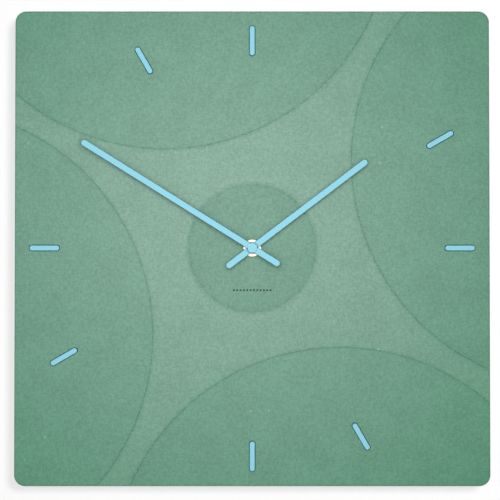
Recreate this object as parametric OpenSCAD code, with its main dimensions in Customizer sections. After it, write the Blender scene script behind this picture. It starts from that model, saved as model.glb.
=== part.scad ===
// Square wall clock: a green board with engraved arcs, eight raised hour marks, two hands
// and a quartz movement let into its back.
// The dial faces -Y, +X is right as seen from the front and +Z is up.
// The origin is where the hands' axis meets the wall.

/* [Board] */
// Width and height of the square board
board_w = 300; // [290:1:400]
// Thickness of the board
board_t = 19; // [19:0.5:28]
// Radius of the board's corners, seen from the front
corner_r = 7; // [4:0.5:20]
// Rounding of the front and back edges
edge_r = 1.5; // [0.5:0.1:3]
// Board left between the dial face and the movement pocket
web_t = 2.5; // [2:0.1:3.5]
// Thickness of the felt pads that rest on the wall
pad_t = 2; // [1.5:0.1:4]
// Width of a felt pad
pad_d = 12; // [8:1:20]
// Distance of a pad's centre from the board's edges
pad_inset = 18; // [12:1:40]

/* [Dial face] */
// Radius of the four engraved arcs
arc_r = 143.7; // [110:0.1:160]
// Distance from the dial's centre to the centre of each arc
arc_away = 213.7; // [200:0.1:240]
// Direction of the first arc's centre, counter-clockwise from three o'clock
arc_turn = 15; // [0:1:45]
// Radius of the engraved circle round the hands
ring_r = 39.9; // [25:0.1:60]
// Width of an engraved line
line_w = 0.8; // [0.4:0.1:1.4]
// Depth of an engraved arc
line_d = 0.3; // [0.2:0.1:1]
// Depth of the engraved circle
ring_line_d = 0.2; // [0.1:0.1:1]

/* [Hour marks] */
// Length of a mark
mark_l = 19.1; // [12:0.1:30]
// Width of a mark
mark_w = 3.6; // [2:0.1:6]
// Thickness of a mark
mark_t = 2; // [1.5:0.1:3]
// How far a mark stands out of the board
mark_proud = 0.8; // [0.4:0.1:1.2]
// Gap from an upright or level mark's end to the board's edge
square_gap = 9.4; // [5:0.1:25]
// Gap from a slanted mark's tip to the board's edge
slant_gap = 23.1; // [15:0.1:35]
// Clearance round a mark in its recess
mark_clear = 0.3; // [0.05:0.05:0.4]

/* [Hands] */
// Width of a hand
hand_w = 4.1; // [3:0.1:7]
// Thickness of a hand
hand_t = 0.6; // [0.4:0.1:1]
// Reach of the minute hand from its axis
minute_reach = 126.5; // [90:0.5:135]
// Reach of the hour hand from its axis
hour_reach = 90.8; // [60:0.1:110]
// Reach of the tail of each hand
tail_reach = 20.2; // [0:0.1:35]
// Metal left round the hour hand's collet, from which each hand's hub gets its width
hub_wall = 0.9; // [0.6:0.1:2.5]
// Where the minute hand points, in degrees clockwise from twelve
minute_at = 302; // [0:1:359]
// Where the hour hand points, in degrees clockwise from twelve
hour_at = 52.8; // [0:0.1:359]
// Free space between one hand's pipe and the next hand
hand_gap = 0.3; // [0.2:0.1:1]

/* [Movement case] */
// Width and height of the movement case
case_w = 56; // [56:0.5:70]
// Depth of the movement case
case_d = 16; // [16:0.1:16.5]
// Radius of the case's corners
case_r = 3; // [2:0.5:5]
// Thickness of the case's front and side walls
case_wall = 1.2; // [1:0.1:1.3]
// Thickness of the case's rear wall
rear_wall = 1.5; // [1:0.1:1.5]
// Depth of the front half of the case
front_half = 9; // [9:0.1:9.5]
// Free space round the case in its pocket
pocket_gap = 1; // [0.5:0.1:2]
// Thickness of the rubber washer behind the board
rubber_t = 0.5; // [0.3:0.1:1]
// Width of the round nut on the face
nut_d = 11.2; // [10.5:0.1:16]
// Thickness of the round nut
nut_t = 2; // [1:0.1:3]

/* [Gear train] */
// Tooth module of the minute works, from which the hour stage follows
works_mod = 0.4; // [0.36:0.01:0.4]
// Tooth module of the centre wheel, from which the third stage follows
centre_mod = 0.34; // [0.32:0.01:0.34]
// Tooth module of the seconds wheel
seconds_mod = 0.3; // [0.28:0.01:0.3]
// Tooth module of the intermediate wheel
inter_mod = 0.25; // [0.23:0.01:0.25]
// Thickness of the wheels
wheel_t = 0.8; // [0.6:0.1:0.8]
// Thickness of the minute works wheels
works_t = 1; // [0.8:0.1:1]
// Free space between one wheel layer and the next
layer_gap = 0.5; // [0.4:0.05:0.5]
// Radius of the seconds arbor, round which the pipes are built
arbor_r = 0.5; // [0.3:0.05:0.7]
// Running clearance of every arbor and pipe
run_gap = 0.05; // [0.02:0.01:0.08]
// Wall of the minute pipe
minute_pipe_wall = 0.85; // [0.8:0.05:1.2]
// Wall of the hour pipe
hour_pipe_wall = 0.8; // [0.8:0.05:1.2]
// Wall of the threaded bush
bush_wall = 1.7; // [1:0.1:2]

/* [Battery] */
// Diameter of the cell over its sleeve
cell_d = 14.2; // [10.5:0.1:14.2]
// Length of the cell with its nub
cell_l = 50.2; // [44:0.1:50.5]

/* [Hanger] */
// Distance of the hanger plate's middle below the board's top edge
hanger_drop = 40; // [30:1:60]
// Width of the hanger plate
hanger_w = 40; // [36:1:60]
// Height of the hanger plate
hanger_h = 28; // [26:1:40]
// Thickness of the hanger plate
hanger_t = 1.2; // [1:0.1:2]
// Diameter of the hole that lets the screw head in
keyhole_d = 9; // [8:0.1:11]
// Width of the slot that holds the screw's neck
slot_w = 4.5; // [3.5:0.1:5.5]
// Travel of the screw from the hole to the top of the slot
slot_l = 8; // [7:0.1:10]

/* [Hidden] */
$fn = 64;

// How far a cut runs past the surface that it opens
cut = 1;
// How far a post starts inside the wall that it stands on
root = 0.3;

// Levels along Y, from the wall forwards
back_y = -pad_t;
face_y = back_y - board_t;
pocket_y = face_y + web_t;
case_y = pocket_y + rubber_t;

// Radii of the nested pipes, from the seconds arbor outwards
minute_bore_r = arbor_r + run_gap;
minute_pipe_r = minute_bore_r + minute_pipe_wall;
hour_bore_r = minute_pipe_r + run_gap;
hour_pipe_r = hour_bore_r + hour_pipe_wall;
bush_bore_r = hour_pipe_r + run_gap;
bush_r = bush_bore_r + bush_wall;

// What is stacked on the face, from the board forwards
bush_washer_t = 0.3;
bush_clear = 0.15;
washer_clear = 0.1;
washer_inset = 0.2;
rubber_rim = 5;
nut_bevel = 0.5;
nut_slot_w = 1.2;
nut_slot_d = 0.8;
thread_over = 0.7;
bush_tip_y = face_y - bush_washer_t - nut_t - thread_over;
collet_flange_t = 0.4;
collet_rivet = 0.3;
pipe_over = 0.4;
hour_collet_y = bush_tip_y - hand_gap;
hour_hand_y = hour_collet_y - collet_flange_t;
hour_rivet_y = hour_hand_y - hand_t - collet_rivet;
hour_pipe_tip_y = hour_rivet_y - pipe_over;
minute_collet_y = hour_pipe_tip_y - hand_gap;
minute_hand_y = minute_collet_y - collet_flange_t;
minute_rivet_y = minute_hand_y - hand_t - collet_rivet;
minute_pipe_tip_y = minute_rivet_y - pipe_over;
arbor_tip_y = minute_pipe_tip_y + 0.7;
collet_neck = 0.35;
collet_rim = 0.7;
hub_r = hour_pipe_r + collet_neck + hub_wall;
cap_r = hub_r - 0.4;
cap_edge = 0.4;
cap_roof = 0.4;
cap_clear = 0.1;

// Wheel layers, as depths from the front of the case
hour_layer = case_wall + layer_gap;
works_layer = hour_layer + works_t + layer_gap;
centre_layer = works_layer + works_t + layer_gap;
third_layer = centre_layer + wheel_t + layer_gap;
plate_layer = third_layer + wheel_t + layer_gap;
plate_t = 1;
plate_back = plate_layer + plate_t;
seconds_layer = plate_back + 0.8;
inter_layer = seconds_layer + wheel_t + 1.2;
bridge_layer = inter_layer + wheel_t + layer_gap;
bridge_t = 1;
bridge_back = bridge_layer + bridge_t;

// Tooth counts: the hour hand turns once for twelve turns of the minute hand
cannon_teeth = 12;
works_teeth = 36;
works_pinion_teeth = 10;
hour_teeth = 40;
centre_teeth = 64;
third_pinion_teeth = 8;
third_teeth = 60;
seconds_pinion_teeth = 8;
seconds_teeth = 40;
inter_pinion_teeth = 8;
inter_teeth = 48;
rotor_teeth = 8;

// Both stages that share an axis at each end have the same centre distance
works_away = works_mod * (cannon_teeth + works_teeth) / 2;
hour_mod = 2 * works_away / (works_pinion_teeth + hour_teeth);
third_away = centre_mod * (centre_teeth + third_pinion_teeth) / 2;
third_mod = 2 * third_away / (third_teeth + seconds_pinion_teeth);
inter_away = seconds_mod * (seconds_teeth + inter_pinion_teeth) / 2;
rotor_away = inter_mod * (inter_teeth + rotor_teeth) / 2;

// Directions from each axis to the next, counter-clockwise from three o'clock
works_dir = 0;
setting_dir = 20;
third_dir = 60;
inter_dir = 150;
rotor_dir = 140;

// Axes of the train, as places seen from the front
works_at = polar(works_away, works_dir);
setting_at = works_at + polar(works_away, setting_dir);
third_at = polar(third_away, third_dir);
inter_at = polar(inter_away, inter_dir);
rotor_at = inter_at + polar(rotor_away, rotor_dir);

// Tooth form: involute flanks, shortened tips and a little play
pressure_angle = 20;
addendum = 0.8;
dedendum = 1.15;
tooth_play = 0.2;

// Turn of each toothed ring that puts it in mesh with the one before it
cannon_phase = 0;
works_phase = mesh_phase(cannon_teeth, cannon_phase, works_teeth, works_dir);
works_pinion_phase = 0;
hour_phase = mesh_phase(works_pinion_teeth, works_pinion_phase, hour_teeth, works_dir + 180);
setting_phase = mesh_phase(works_teeth, works_phase, cannon_teeth, setting_dir);
centre_phase = 0;
third_pinion_phase = mesh_phase(centre_teeth, centre_phase, third_pinion_teeth, third_dir);
third_phase = 0;
seconds_pinion_phase = mesh_phase(third_teeth, third_phase, seconds_pinion_teeth, third_dir + 180);
seconds_phase = 0;
inter_pinion_phase = mesh_phase(seconds_teeth, seconds_phase, inter_pinion_teeth, inter_dir);
inter_phase = 0;
rotor_phase = mesh_phase(inter_teeth, inter_phase, rotor_teeth, rotor_dir);

// Pivots and posts of the train
pivot_r = 0.4;
rotor_pivot_r = 0.3;
pivot_in = 0.2;
third_pivot_l = 1.3;
setting_pivot_l = 1.5;
boss_wall = 0.75;
setting_boss_wall = 1;
post_r = 0.8;
post_gap = 0.3;
setting_shaft_r = 1.2;
setting_pivot_r = 0.6;
seconds_hub_r = 1.2;
cannon_flange = 0.2;
cannon_collar_r = minute_pipe_r + 0.35;
cannon_flange_r = minute_pipe_r + 0.55;
seconds_hole_r = third_mod * (seconds_pinion_teeth / 2 + addendum) + 0.2;

// Inside of the case
inside = case_w / 2 - case_wall;
bush_flange_r = bush_r + 1.5;
bush_flange_t = 0.7;
lip_t = 0.5;
lip_h = 0.6;
lip_gap = 0.05;
lip_out = inside - lip_gap;
lip_in = lip_out - lip_t;
cell_gap = 0.1;
cell_r = cell_d / 2;
cell_rear_gap = 0.5;
cell_depth = case_d - cell_rear_gap - cell_r;
cell_z = -inside + cell_gap + cell_r;
bay_top = cell_z + cell_r + cell_gap;
divider_t = 0.9;
divider_top = bay_top + divider_t;

// Battery contacts
strip_t = 0.3;
strip_out = inside - 0.6;
strip_in = strip_out - strip_t;
strip_h = 3;
strip_bend_r = 2.5;
pad_half = 3.5;
cell_end_gap = 0.3;
nub_l = 1;
nub_r = 2.75;
divider_half = strip_in - 0.2;
cell_right = strip_in - cell_end_gap;
cell_left = cell_right - cell_l;
sleeve_t = 0.15;
sleeve_end = 0.5;

// Mid plate, its pillars and the pegs that hold it on the case
plate_left = -15.5;
plate_edge = inside - 1.3;
plate_bottom = divider_top + post_gap;
peg_r = 0.9;
peg_post_r = 2;
peg_inset = 2;
peg_places = [
    [plate_left + peg_inset, plate_bottom + peg_inset + 0.2],
    [plate_edge - peg_inset, plate_bottom + peg_inset + 0.2],
    [plate_edge - peg_inset, plate_edge - peg_inset],
    [plate_left + 3.5, plate_edge - peg_inset]
];
pillar_r = 1.6;
pillar_places = [[-2.5, -9.4], [3.5, 9.3], [-8.5, 14.5]];
screw_r = 0.6;
screw_head_r = 1.3;
screw_head_t = 0.5;
screw_l = 2.5;
screw_clear = 0.1;
screw_slot_w = 0.4;

// Stepping motor
magnet_r = 3;
magnet_seat_r = 0.8;
magnet_layer = plate_back + 0.5;
magnet_t = 1.8;
air_gap = 0.35;
stator_layer = plate_back + 0.6;
stator_t = 1;
stator_back = stator_layer + stator_t;
stator_ring_r = 5;
stator_arm_w = 4;
stator_arm_x = rotor_at[0] - 0.9;
coil_x = -21;
coil_bottom = -5.5;
coil_top = 20;
stator_post_heights = [coil_bottom + 3.5, coil_top - 3];
stator_post_r = 1.5;
core_w = 2.6;
core_t = 1;
core_mid = stator_back + core_t / 2;
coil_screw_r = 0.6;
coil_head_t = 0.8;
flange_t = 0.8;
flange_r = 3.4;
tube_r = 1.9;
winding_r = 3.1;
bobbin_margin = stator_arm_w / 2 + 1.3;

// Circuit board
board_left = 2;
circuit_h = 13;
circuit_t = 0.8;
circuit_bottom = plate_edge - circuit_h;
circuit_back = plate_back + circuit_t;

// Setting knob, in a well of the rear wall
knob_r = 6;
knob_t = 2.9;
knob_gap = 0.3;
well_gap = 1;
well_wall = 1.2;
well_floor = case_d - 1.9;
knob_layer = well_floor + knob_gap;
knob_grips = 24;
grip_r = 0.45;
grip_out = 0.2;
knob_ring_d = 0.6;
knob_ring_out = 1.4;
knob_ring_in = 3.2;

// Hanger
hanger_z = board_w / 2 - hanger_drop;
hanger_gap = 0.2;
hanger_r = 3;
hanger_cross_l = 3;
hanger_cross_w = 0.6;
hanger_cross_d = 0.7;
hanger_screw_r = 1.25;
hanger_head_r = 2.4;
hanger_screw_l = 10;
hanger_screw_inset = 5;
head_pocket_d = 6;
head_pocket_w = 2 * (hanger_w / 2 - hanger_screw_inset - hanger_screw_r) - 1.5;
head_pocket_h = hanger_h - 4;

function polar(r, a) = [r * cos(a), r * sin(a)];

// Involute function of an angle, in degrees
function involute(a) = tan(a) * 180 / PI - a;

// Half the angle that a tooth takes up at radius r
function tooth_half(teeth, mod, r) =
    let (
        pitch_r = teeth * mod / 2,
        base_r = pitch_r * cos(pressure_angle),
        at_pitch = (PI / 2 - tooth_play) / teeth * 180 / PI
    )
    at_pitch + involute(pressure_angle) - involute(acos(min(1, base_r / max(r, base_r))));

// Radii at which a flank has a corner: a pinion's flanks curve more, so they have one more
function flank_radii(teeth, mod) =
    let (
        pitch_r = teeth * mod / 2,
        root_r = pitch_r - dedendum * mod,
        tip_r = pitch_r + addendum * mod,
        middle = (root_r + pitch_r) / 2,
        foot_r = max(middle, pitch_r * cos(pressure_angle))
    )
    teeth < 20
        ? [root_r, foot_r, pitch_r, (pitch_r + tip_r) / 2, tip_r]
        : [root_r, foot_r < pitch_r - 0.01 ? foot_r : middle, pitch_r, tip_r];

// Outline of a toothed ring, tooth by tooth, up one flank and down the other
function gear_points(teeth, mod, phase) =
    let (radii = flank_radii(teeth, mod), last = len(radii) - 1)
    [
        for (k = [0:teeth - 1], side = [-1, 1], i = [0:last])
            let (r = radii[side < 0 ? i : last - i])
            polar(r, phase + 360 * k / teeth + side * tooth_half(teeth, mod, r))
    ];

// Phase of a second gear that meshes with a first one, seen in direction dir from the first
function mesh_phase(teeth_1, phase_1, teeth_2, dir) =
    dir + 180 + (0.5 - (phase_1 - dir) * teeth_1 / 360) * 360 / teeth_2;

// Distance of a mark's middle from the dial's centre
function mark_away(hour) =
    hour % 3 == 0
        ? board_w / 2 - square_gap - mark_l / 2
        : (board_w / 2 - slant_gap) / cos(30) - mark_l / 2;

// Moves a piece to a place seen from the front
module at(place) {
    translate([place[0], 0, place[1]]) children();
}

// Gives an outline, drawn as seen from the front, its depth between two levels along Y
module slab(front, back) {
    translate([0, back, 0])
        rotate([90, 0, 0])
            linear_extrude(back - front) children();
}

// The same between two depths measured from the front of the case
module layer(front, back) {
    slab(case_y + front, case_y + back) children();
}

// Turns an outline about a Y axis: x is the radius, y runs forwards from the level given
module turned(level) {
    translate([0, level, 0]) rotate([90, 0, 0]) rotate_extrude() children();
}

// Repeats a piece at every place of a list
module at_each(places) {
    for (place = places) {
        at(place) children();
    }
}

// Upright bar with round ends, about its middle
module bar_shape(length, width) {
    square([width, length - width], center = true);
    for (side = [-1, 1]) {
        translate([0, side * (length - width) / 2]) circle(width / 2);
    }
}

// Bar with round ends from one place to another
module link_shape(from, to, width) {
    span = norm(to - from);
    middle = (from + to) / 2;
    turn = atan2(to[1] - from[1], to[0] - from[0]) - 90;
    translate(middle) rotate(turn) bar_shape(span + width, width);
}

// Rectangle with round corners, about its middle
module plate_shape(width, height, r) {
    square([width, height - 2 * r], center = true);
    square([width - 2 * r, height], center = true);
    for (x = [-1, 1], y = [-1, 1]) {
        translate([x * (width / 2 - r), y * (height / 2 - r)]) circle(r);
    }
}

// Rectangle between two corners
module box_shape(low, high) {
    translate(low) square(high - low);
}

module gear_shape(teeth, mod, phase) {
    polygon(gear_points(teeth, mod, phase));
}

// A ring of round holes that lightens a wheel
module wheel_holes(count, away, r) {
    for (k = [0:count - 1]) {
        translate(polar(away, 360 * (k + 0.5) / count)) circle(r);
    }
}

// Half of a board edge's section: x runs outwards, y forwards, both outer corners are round
module edge_section(width, thick, r) {
    square([width - r, thick]);
    translate([0, r]) square([width, thick - 2 * r]);
    for (y = [r, thick - r]) {
        translate([width - r, y]) circle(r);
    }
}

// Square board with round corners and round edges, its back at y = 0 of this module
module board_blank() {
    straight = board_w - 2 * corner_r;
    linear_extrude(board_t) square(straight, center = true);
    for (k = [0:3]) {
        rotate([0, 0, 90 * k]) {
            translate([-straight / 2, straight / 2, 0])
                rotate([90, 0, 90])
                    linear_extrude(straight) edge_section(corner_r, board_t, edge_r);
            translate([straight / 2, straight / 2, 0])
                rotate_extrude() edge_section(corner_r, board_t, edge_r);
        }
    }
}

// Pointed groove along a circle on the dial face
module groove(r, depth) {
    half = line_w / 2 * (depth + cut) / depth;
    turned(face_y) polygon([[r - half, cut], [r + half, cut], [r, -depth]]);
}

module mark_place(hour) {
    rotate([0, 30 * hour, 0]) translate([0, 0, mark_away(hour)]) children();
}

// Section of a countersunk screw: y = 0 is the back of the plate that it holds
module hanger_screw_section(head_up) {
    polygon([
        [0, -head_up],
        [hanger_head_r, -head_up],
        [hanger_head_r, 0],
        [hanger_screw_r, hanger_t],
        [hanger_screw_r, hanger_screw_l - 2],
        [0, hanger_screw_l]
    ]);
}

module hanger_screw_places() {
    for (side = [-1, 1]) {
        at([side * (hanger_w / 2 - hanger_screw_inset), hanger_z]) children();
    }
}

module keyhole_shape() {
    translate([0, -slot_l / 2]) circle(keyhole_d / 2);
    bar_shape(slot_l + slot_w, slot_w);
}

module dial_board() {
    color("#87af9b")
        difference() {
            translate([0, back_y, 0]) rotate([90, 0, 0]) board_blank();
            slab(pocket_y, back_y + cut)
                plate_shape(case_w + 2 * pocket_gap, case_w + 2 * pocket_gap, case_r);
            slab(face_y - cut, back_y) circle(bush_r + bush_clear);
            at([0, hanger_z]) {
                slab(back_y - hanger_t, back_y + cut)
                    plate_shape(
                        hanger_w + 2 * hanger_gap, hanger_h + 2 * hanger_gap, hanger_r + hanger_gap
                    );
                slab(back_y - hanger_t - head_pocket_d, back_y)
                    plate_shape(head_pocket_w, head_pocket_h, hanger_r);
            }
            hanger_screw_places() turned(back_y) hanger_screw_section(0);
            for (hour = [2, 3, 5, 6, 8, 9, 11, 12]) {
                mark_place(hour)
                    slab(face_y - cut, face_y - mark_proud + mark_t)
                        bar_shape(mark_l + 2 * mark_clear, mark_w + 2 * mark_clear);
            }
            groove(ring_r, ring_line_d);
            for (k = [0:3]) {
                at(polar(arc_away, arc_turn + 90 * k)) groove(arc_r, line_d);
            }
        }
}

module hour_mark(hour) {
    color("#96dceb")
        mark_place(hour)
            slab(face_y - mark_proud, face_y - mark_proud + mark_t) bar_shape(mark_l, mark_w);
}

module hand_shape(reach, hole_r) {
    difference() {
        union() {
            translate([0, (reach - tail_reach) / 2]) bar_shape(reach + tail_reach, hand_w);
            circle(hub_r);
        }
        circle(hole_r);
    }
}

// Riveted collet that grips a pipe: a flange behind the hand and a neck through it
module collet(pipe_r, level, rivet_level) {
    slab(level - collet_flange_t, level) difference() {
        circle(pipe_r + collet_neck + collet_rim);
        circle(pipe_r);
    }
    slab(rivet_level, level - collet_flange_t) difference() {
        circle(pipe_r + collet_neck);
        circle(pipe_r);
    }
}

module hour_hand() {
    color("#96dceb")
        rotate([0, hour_at, 0])
            slab(hour_hand_y - hand_t, hour_hand_y) hand_shape(hour_reach, hour_pipe_r + collet_neck);
}

module hour_hand_collet() {
    color("#d8d8d2") collet(hour_pipe_r, hour_collet_y, hour_rivet_y);
}

module minute_hand() {
    color("#96dceb")
        rotate([0, minute_at, 0])
            slab(minute_hand_y - hand_t, minute_hand_y)
                hand_shape(minute_reach, minute_pipe_r + collet_neck);
}

module minute_hand_collet() {
    color("#d8d8d2") collet(minute_pipe_r, minute_collet_y, minute_rivet_y);
}

module minute_hand_cap() {
    seat_y = minute_hand_y - hand_t;
    hollow = seat_y - minute_pipe_tip_y + cap_clear;
    height = hollow + cap_roof;
    inner_r = minute_pipe_r + collet_neck + cap_clear;
    color("#96dceb")
        turned(seat_y)
            difference() {
                union() {
                    square([cap_r, height - cap_edge]);
                    square([cap_r - cap_edge, height]);
                    translate([cap_r - cap_edge, height - cap_edge]) circle(cap_edge);
                }
                translate([-cut, -cut]) square([inner_r + cut, hollow + cut]);
                translate([-cut, -cut]) square([cut, height + 2 * cut]);
            }
}

module bush_nut() {
    seat_y = face_y - bush_washer_t;
    nut_r = nut_d / 2;
    color("#dcdcda")
        difference() {
            turned(seat_y) polygon([
                [bush_r, 0],
                [nut_r, 0],
                [nut_r, nut_t - nut_bevel],
                [nut_r - nut_bevel, nut_t],
                [bush_r, nut_t]
            ]);
            slab(seat_y - nut_t - cut, seat_y - nut_t + nut_slot_d)
                square([nut_d + cut, nut_slot_w], center = true);
        }
}

module bush_washer() {
    color("#c9a94f")
        slab(face_y - bush_washer_t, face_y) difference() {
            circle(nut_d / 2 - washer_inset);
            circle(bush_r + washer_clear);
        }
}

module rubber_washer() {
    color("#2b2b2b")
        slab(pocket_y, case_y) difference() {
            circle(bush_r + rubber_rim);
            circle(bush_r + washer_clear);
        }
}

module threaded_bush() {
    flange = case_wall - bush_flange_t;
    color("#c9a94f")
        difference() {
            union() {
                slab(bush_tip_y, case_y + case_wall) circle(bush_r);
                layer(flange, case_wall) circle(bush_flange_r);
            }
            slab(bush_tip_y - cut, case_y + case_wall + cut) circle(bush_bore_r);
        }
}

// Post that stands on the inside of the case's front wall, with a hole for a pivot
module case_post(r, top, hole_r, hole_l) {
    difference() {
        layer(case_wall - root, top) circle(r);
        layer(top - hole_l, top + cut) circle(hole_r);
    }
}

module case_front() {
    color("#3a3a3c") {
        difference() {
            layer(0, front_half) plate_shape(case_w, case_w, case_r);
            layer(case_wall, front_half + cut)
                plate_shape(2 * inside, 2 * inside, case_r - case_wall);
            layer(-cut, case_wall + cut) circle(bush_r);
            layer(case_wall - bush_flange_t, case_wall + cut) circle(bush_flange_r);
        }
        layer(case_wall - root, front_half)
            box_shape([-divider_half, bay_top], [divider_half, divider_top]);
        at(works_at) layer(case_wall - root, centre_layer - post_gap) circle(post_r);
        at(third_at)
            case_post(
                pivot_r + run_gap + boss_wall, centre_layer - post_gap, pivot_r + run_gap,
                third_pivot_l + pivot_in - post_gap
            );
        at(setting_at)
            case_post(
                setting_pivot_r + run_gap + setting_boss_wall, works_layer - post_gap,
                setting_pivot_r + run_gap, setting_pivot_l + pivot_in - post_gap
            );
        for (place = peg_places) {
            at(place) {
                layer(case_wall - root, plate_layer) circle(peg_post_r);
                layer(plate_layer - root, plate_back) circle(peg_r);
            }
        }
    }
}

module case_back() {
    color("#3a3a3c")
        difference() {
            union() {
                difference() {
                    layer(front_half, case_d) plate_shape(case_w, case_w, case_r);
                    layer(front_half - cut, case_d - rear_wall)
                        plate_shape(2 * inside, 2 * inside, case_r - case_wall);
                }
                difference() {
                    union() {
                        layer(front_half - lip_h, front_half + lip_h)
                            plate_shape(2 * lip_out, 2 * lip_out, case_r - case_wall);
                        layer(front_half, front_half + lip_h)
                            plate_shape(2 * inside + root, 2 * inside + root, case_r - case_wall);
                    }
                    layer(front_half - lip_h - cut, front_half + lip_h + cut)
                        plate_shape(2 * lip_in, 2 * lip_in, case_r - case_wall);
                }
                layer(front_half, case_d - rear_wall + root)
                    box_shape([-divider_half, bay_top], [divider_half, divider_top]);
                at(setting_at)
                    layer(well_floor - well_wall, case_d) circle(knob_r + well_gap + well_wall);
            }
            at(setting_at) {
                layer(well_floor, case_d + cut) circle(knob_r + well_gap);
                layer(well_floor - well_wall - cut, well_floor + cut)
                    circle(setting_shaft_r + 2 * run_gap);
            }
            layer(front_half - lip_h - cut, case_d + cut)
                box_shape([-inside, -inside], [inside, bay_top]);
        }
}

module mid_plate() {
    color("#e6e2d6") {
        difference() {
            layer(plate_layer, plate_back)
                box_shape([plate_left, plate_bottom], [plate_edge, plate_edge]);
            layer(plate_layer - cut, plate_back + cut) {
                circle(seconds_hole_r);
                translate(third_at) circle(pivot_r + run_gap);
                translate(inter_at) circle(pivot_r + run_gap);
                translate(rotor_at) circle(rotor_pivot_r + run_gap);
                translate(setting_at) circle(setting_shaft_r + 2 * run_gap);
                for (place = peg_places) {
                    translate(place) circle(peg_r);
                }
            }
        }
        for (place = pillar_places) {
            at(place)
                difference() {
                    layer(plate_back - root, bridge_layer) circle(pillar_r);
                    layer(bridge_layer - screw_l, bridge_layer + cut) circle(screw_r);
                }
        }
        for (z = stator_post_heights) {
            at([stator_arm_x, z]) layer(plate_back - root, stator_layer) circle(stator_post_r);
        }
    }
}

module train_bridge() {
    color("#e6e2d6")
        layer(bridge_layer, bridge_back)
            difference() {
                union() {
                    link_shape(pillar_places[0], [0, 0], 2 * pillar_r);
                    link_shape([0, 0], pillar_places[1], 2 * pillar_r);
                    link_shape([0, 0], inter_at, 2 * pillar_r);
                    link_shape(inter_at, rotor_at, 2 * pillar_r);
                    link_shape(rotor_at, pillar_places[2], 2 * pillar_r);
                }
                circle(arbor_r + run_gap);
                translate(inter_at) circle(pivot_r + run_gap);
                translate(rotor_at) circle(rotor_pivot_r + run_gap);
                for (place = pillar_places) {
                    translate(place) circle(screw_r + screw_clear);
                }
            }
}

module bridge_screws() {
    color("#b9bcc0")
        at_each(pillar_places) {
            difference() {
                layer(bridge_back, bridge_back + screw_head_t) circle(screw_head_r);
                layer(bridge_back + screw_head_t / 2, bridge_back + screw_head_t + cut)
                    square([2 * screw_head_r + cut, screw_slot_w], center = true);
            }
            layer(bridge_layer - screw_l, bridge_back + screw_head_t / 4) circle(screw_r);
        }
}

module hour_wheel() {
    color("#f0eee6") {
        layer(hour_layer, hour_layer + works_t)
            difference() {
                gear_shape(hour_teeth, hour_mod, hour_phase);
                circle(hour_bore_r);
                wheel_holes(5, 4.9, 1.1);
            }
        slab(hour_pipe_tip_y, case_y + hour_layer + root)
            difference() {
                circle(hour_pipe_r);
                circle(hour_bore_r);
            }
    }
}

module minute_pipe() {
    flange_back = centre_layer + wheel_t + cannon_flange;
    color("#c9a94f")
        difference() {
            union() {
                slab(minute_pipe_tip_y, case_y + flange_back) circle(minute_pipe_r);
                layer(works_layer, works_layer + works_t)
                    gear_shape(cannon_teeth, works_mod, cannon_phase);
                layer(works_layer + works_t - root, centre_layer) circle(cannon_collar_r);
                layer(centre_layer + wheel_t, flange_back) circle(cannon_flange_r);
            }
            slab(minute_pipe_tip_y - cut, case_y + flange_back + cut) circle(minute_bore_r);
        }
}

module centre_wheel() {
    color("#f0eee6")
        layer(centre_layer, centre_layer + wheel_t)
            difference() {
                gear_shape(centre_teeth, centre_mod, centre_phase);
                circle(minute_pipe_r);
                wheel_holes(6, 6.6, 1.8);
            }
}

module minute_works_wheel() {
    color("#f0eee6")
        at(works_at)
            difference() {
                union() {
                    layer(works_layer, works_layer + works_t)
                        gear_shape(works_teeth, works_mod, works_phase);
                    layer(hour_layer, works_layer + root)
                        gear_shape(works_pinion_teeth, hour_mod, works_pinion_phase);
                }
                layer(hour_layer - cut, works_layer + works_t + cut) circle(post_r + run_gap);
                layer(works_layer - cut, works_layer + works_t + cut) wheel_holes(5, 4.6, 1.1);
            }
}

module third_wheel() {
    color("#f0eee6")
        at(third_at) {
            layer(third_layer, third_layer + wheel_t)
                difference() {
                    gear_shape(third_teeth, third_mod, third_phase);
                    wheel_holes(6, 6.4, 1.8);
                }
            layer(centre_layer, third_layer + root)
                gear_shape(third_pinion_teeth, centre_mod, third_pinion_phase);
            layer(centre_layer - third_pivot_l, plate_back - pivot_in) circle(pivot_r);
        }
}

module seconds_wheel() {
    color("#f0eee6")
        difference() {
            union() {
                layer(seconds_layer, seconds_layer + wheel_t)
                    difference() {
                        gear_shape(seconds_teeth, seconds_mod, seconds_phase);
                        wheel_holes(5, 3.7, 0.9);
                    }
                layer(third_layer, third_layer + wheel_t)
                    gear_shape(seconds_pinion_teeth, third_mod, seconds_pinion_phase);
                layer(third_layer + wheel_t - root, seconds_layer + root) circle(seconds_hub_r);
            }
            layer(third_layer - cut, seconds_layer + wheel_t + cut) circle(arbor_r);
        }
}

module seconds_arbor() {
    color("#b9bcc0") slab(arbor_tip_y, case_y + bridge_back - pivot_in) circle(arbor_r);
}

module intermediate_wheel() {
    color("#f0eee6")
        at(inter_at) {
            layer(inter_layer, inter_layer + wheel_t)
                difference() {
                    gear_shape(inter_teeth, inter_mod, inter_phase);
                    wheel_holes(5, 3.7, 0.9);
                }
            layer(seconds_layer, inter_layer + root)
                gear_shape(inter_pinion_teeth, seconds_mod, inter_pinion_phase);
            layer(plate_layer + pivot_in, bridge_back - pivot_in) circle(pivot_r);
        }
}

module rotor_spindle() {
    color("#4a6fb0")
        at(rotor_at) {
            layer(inter_layer, inter_layer + wheel_t) gear_shape(rotor_teeth, inter_mod, rotor_phase);
            layer(magnet_layer, inter_layer + root) circle(magnet_seat_r);
            layer(plate_layer + pivot_in, bridge_back - pivot_in) circle(rotor_pivot_r);
        }
}

module rotor_magnet() {
    color("#55585c")
        at(rotor_at)
            layer(magnet_layer, magnet_layer + magnet_t)
                difference() {
                    circle(magnet_r);
                    circle(magnet_seat_r);
                }
}

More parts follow.
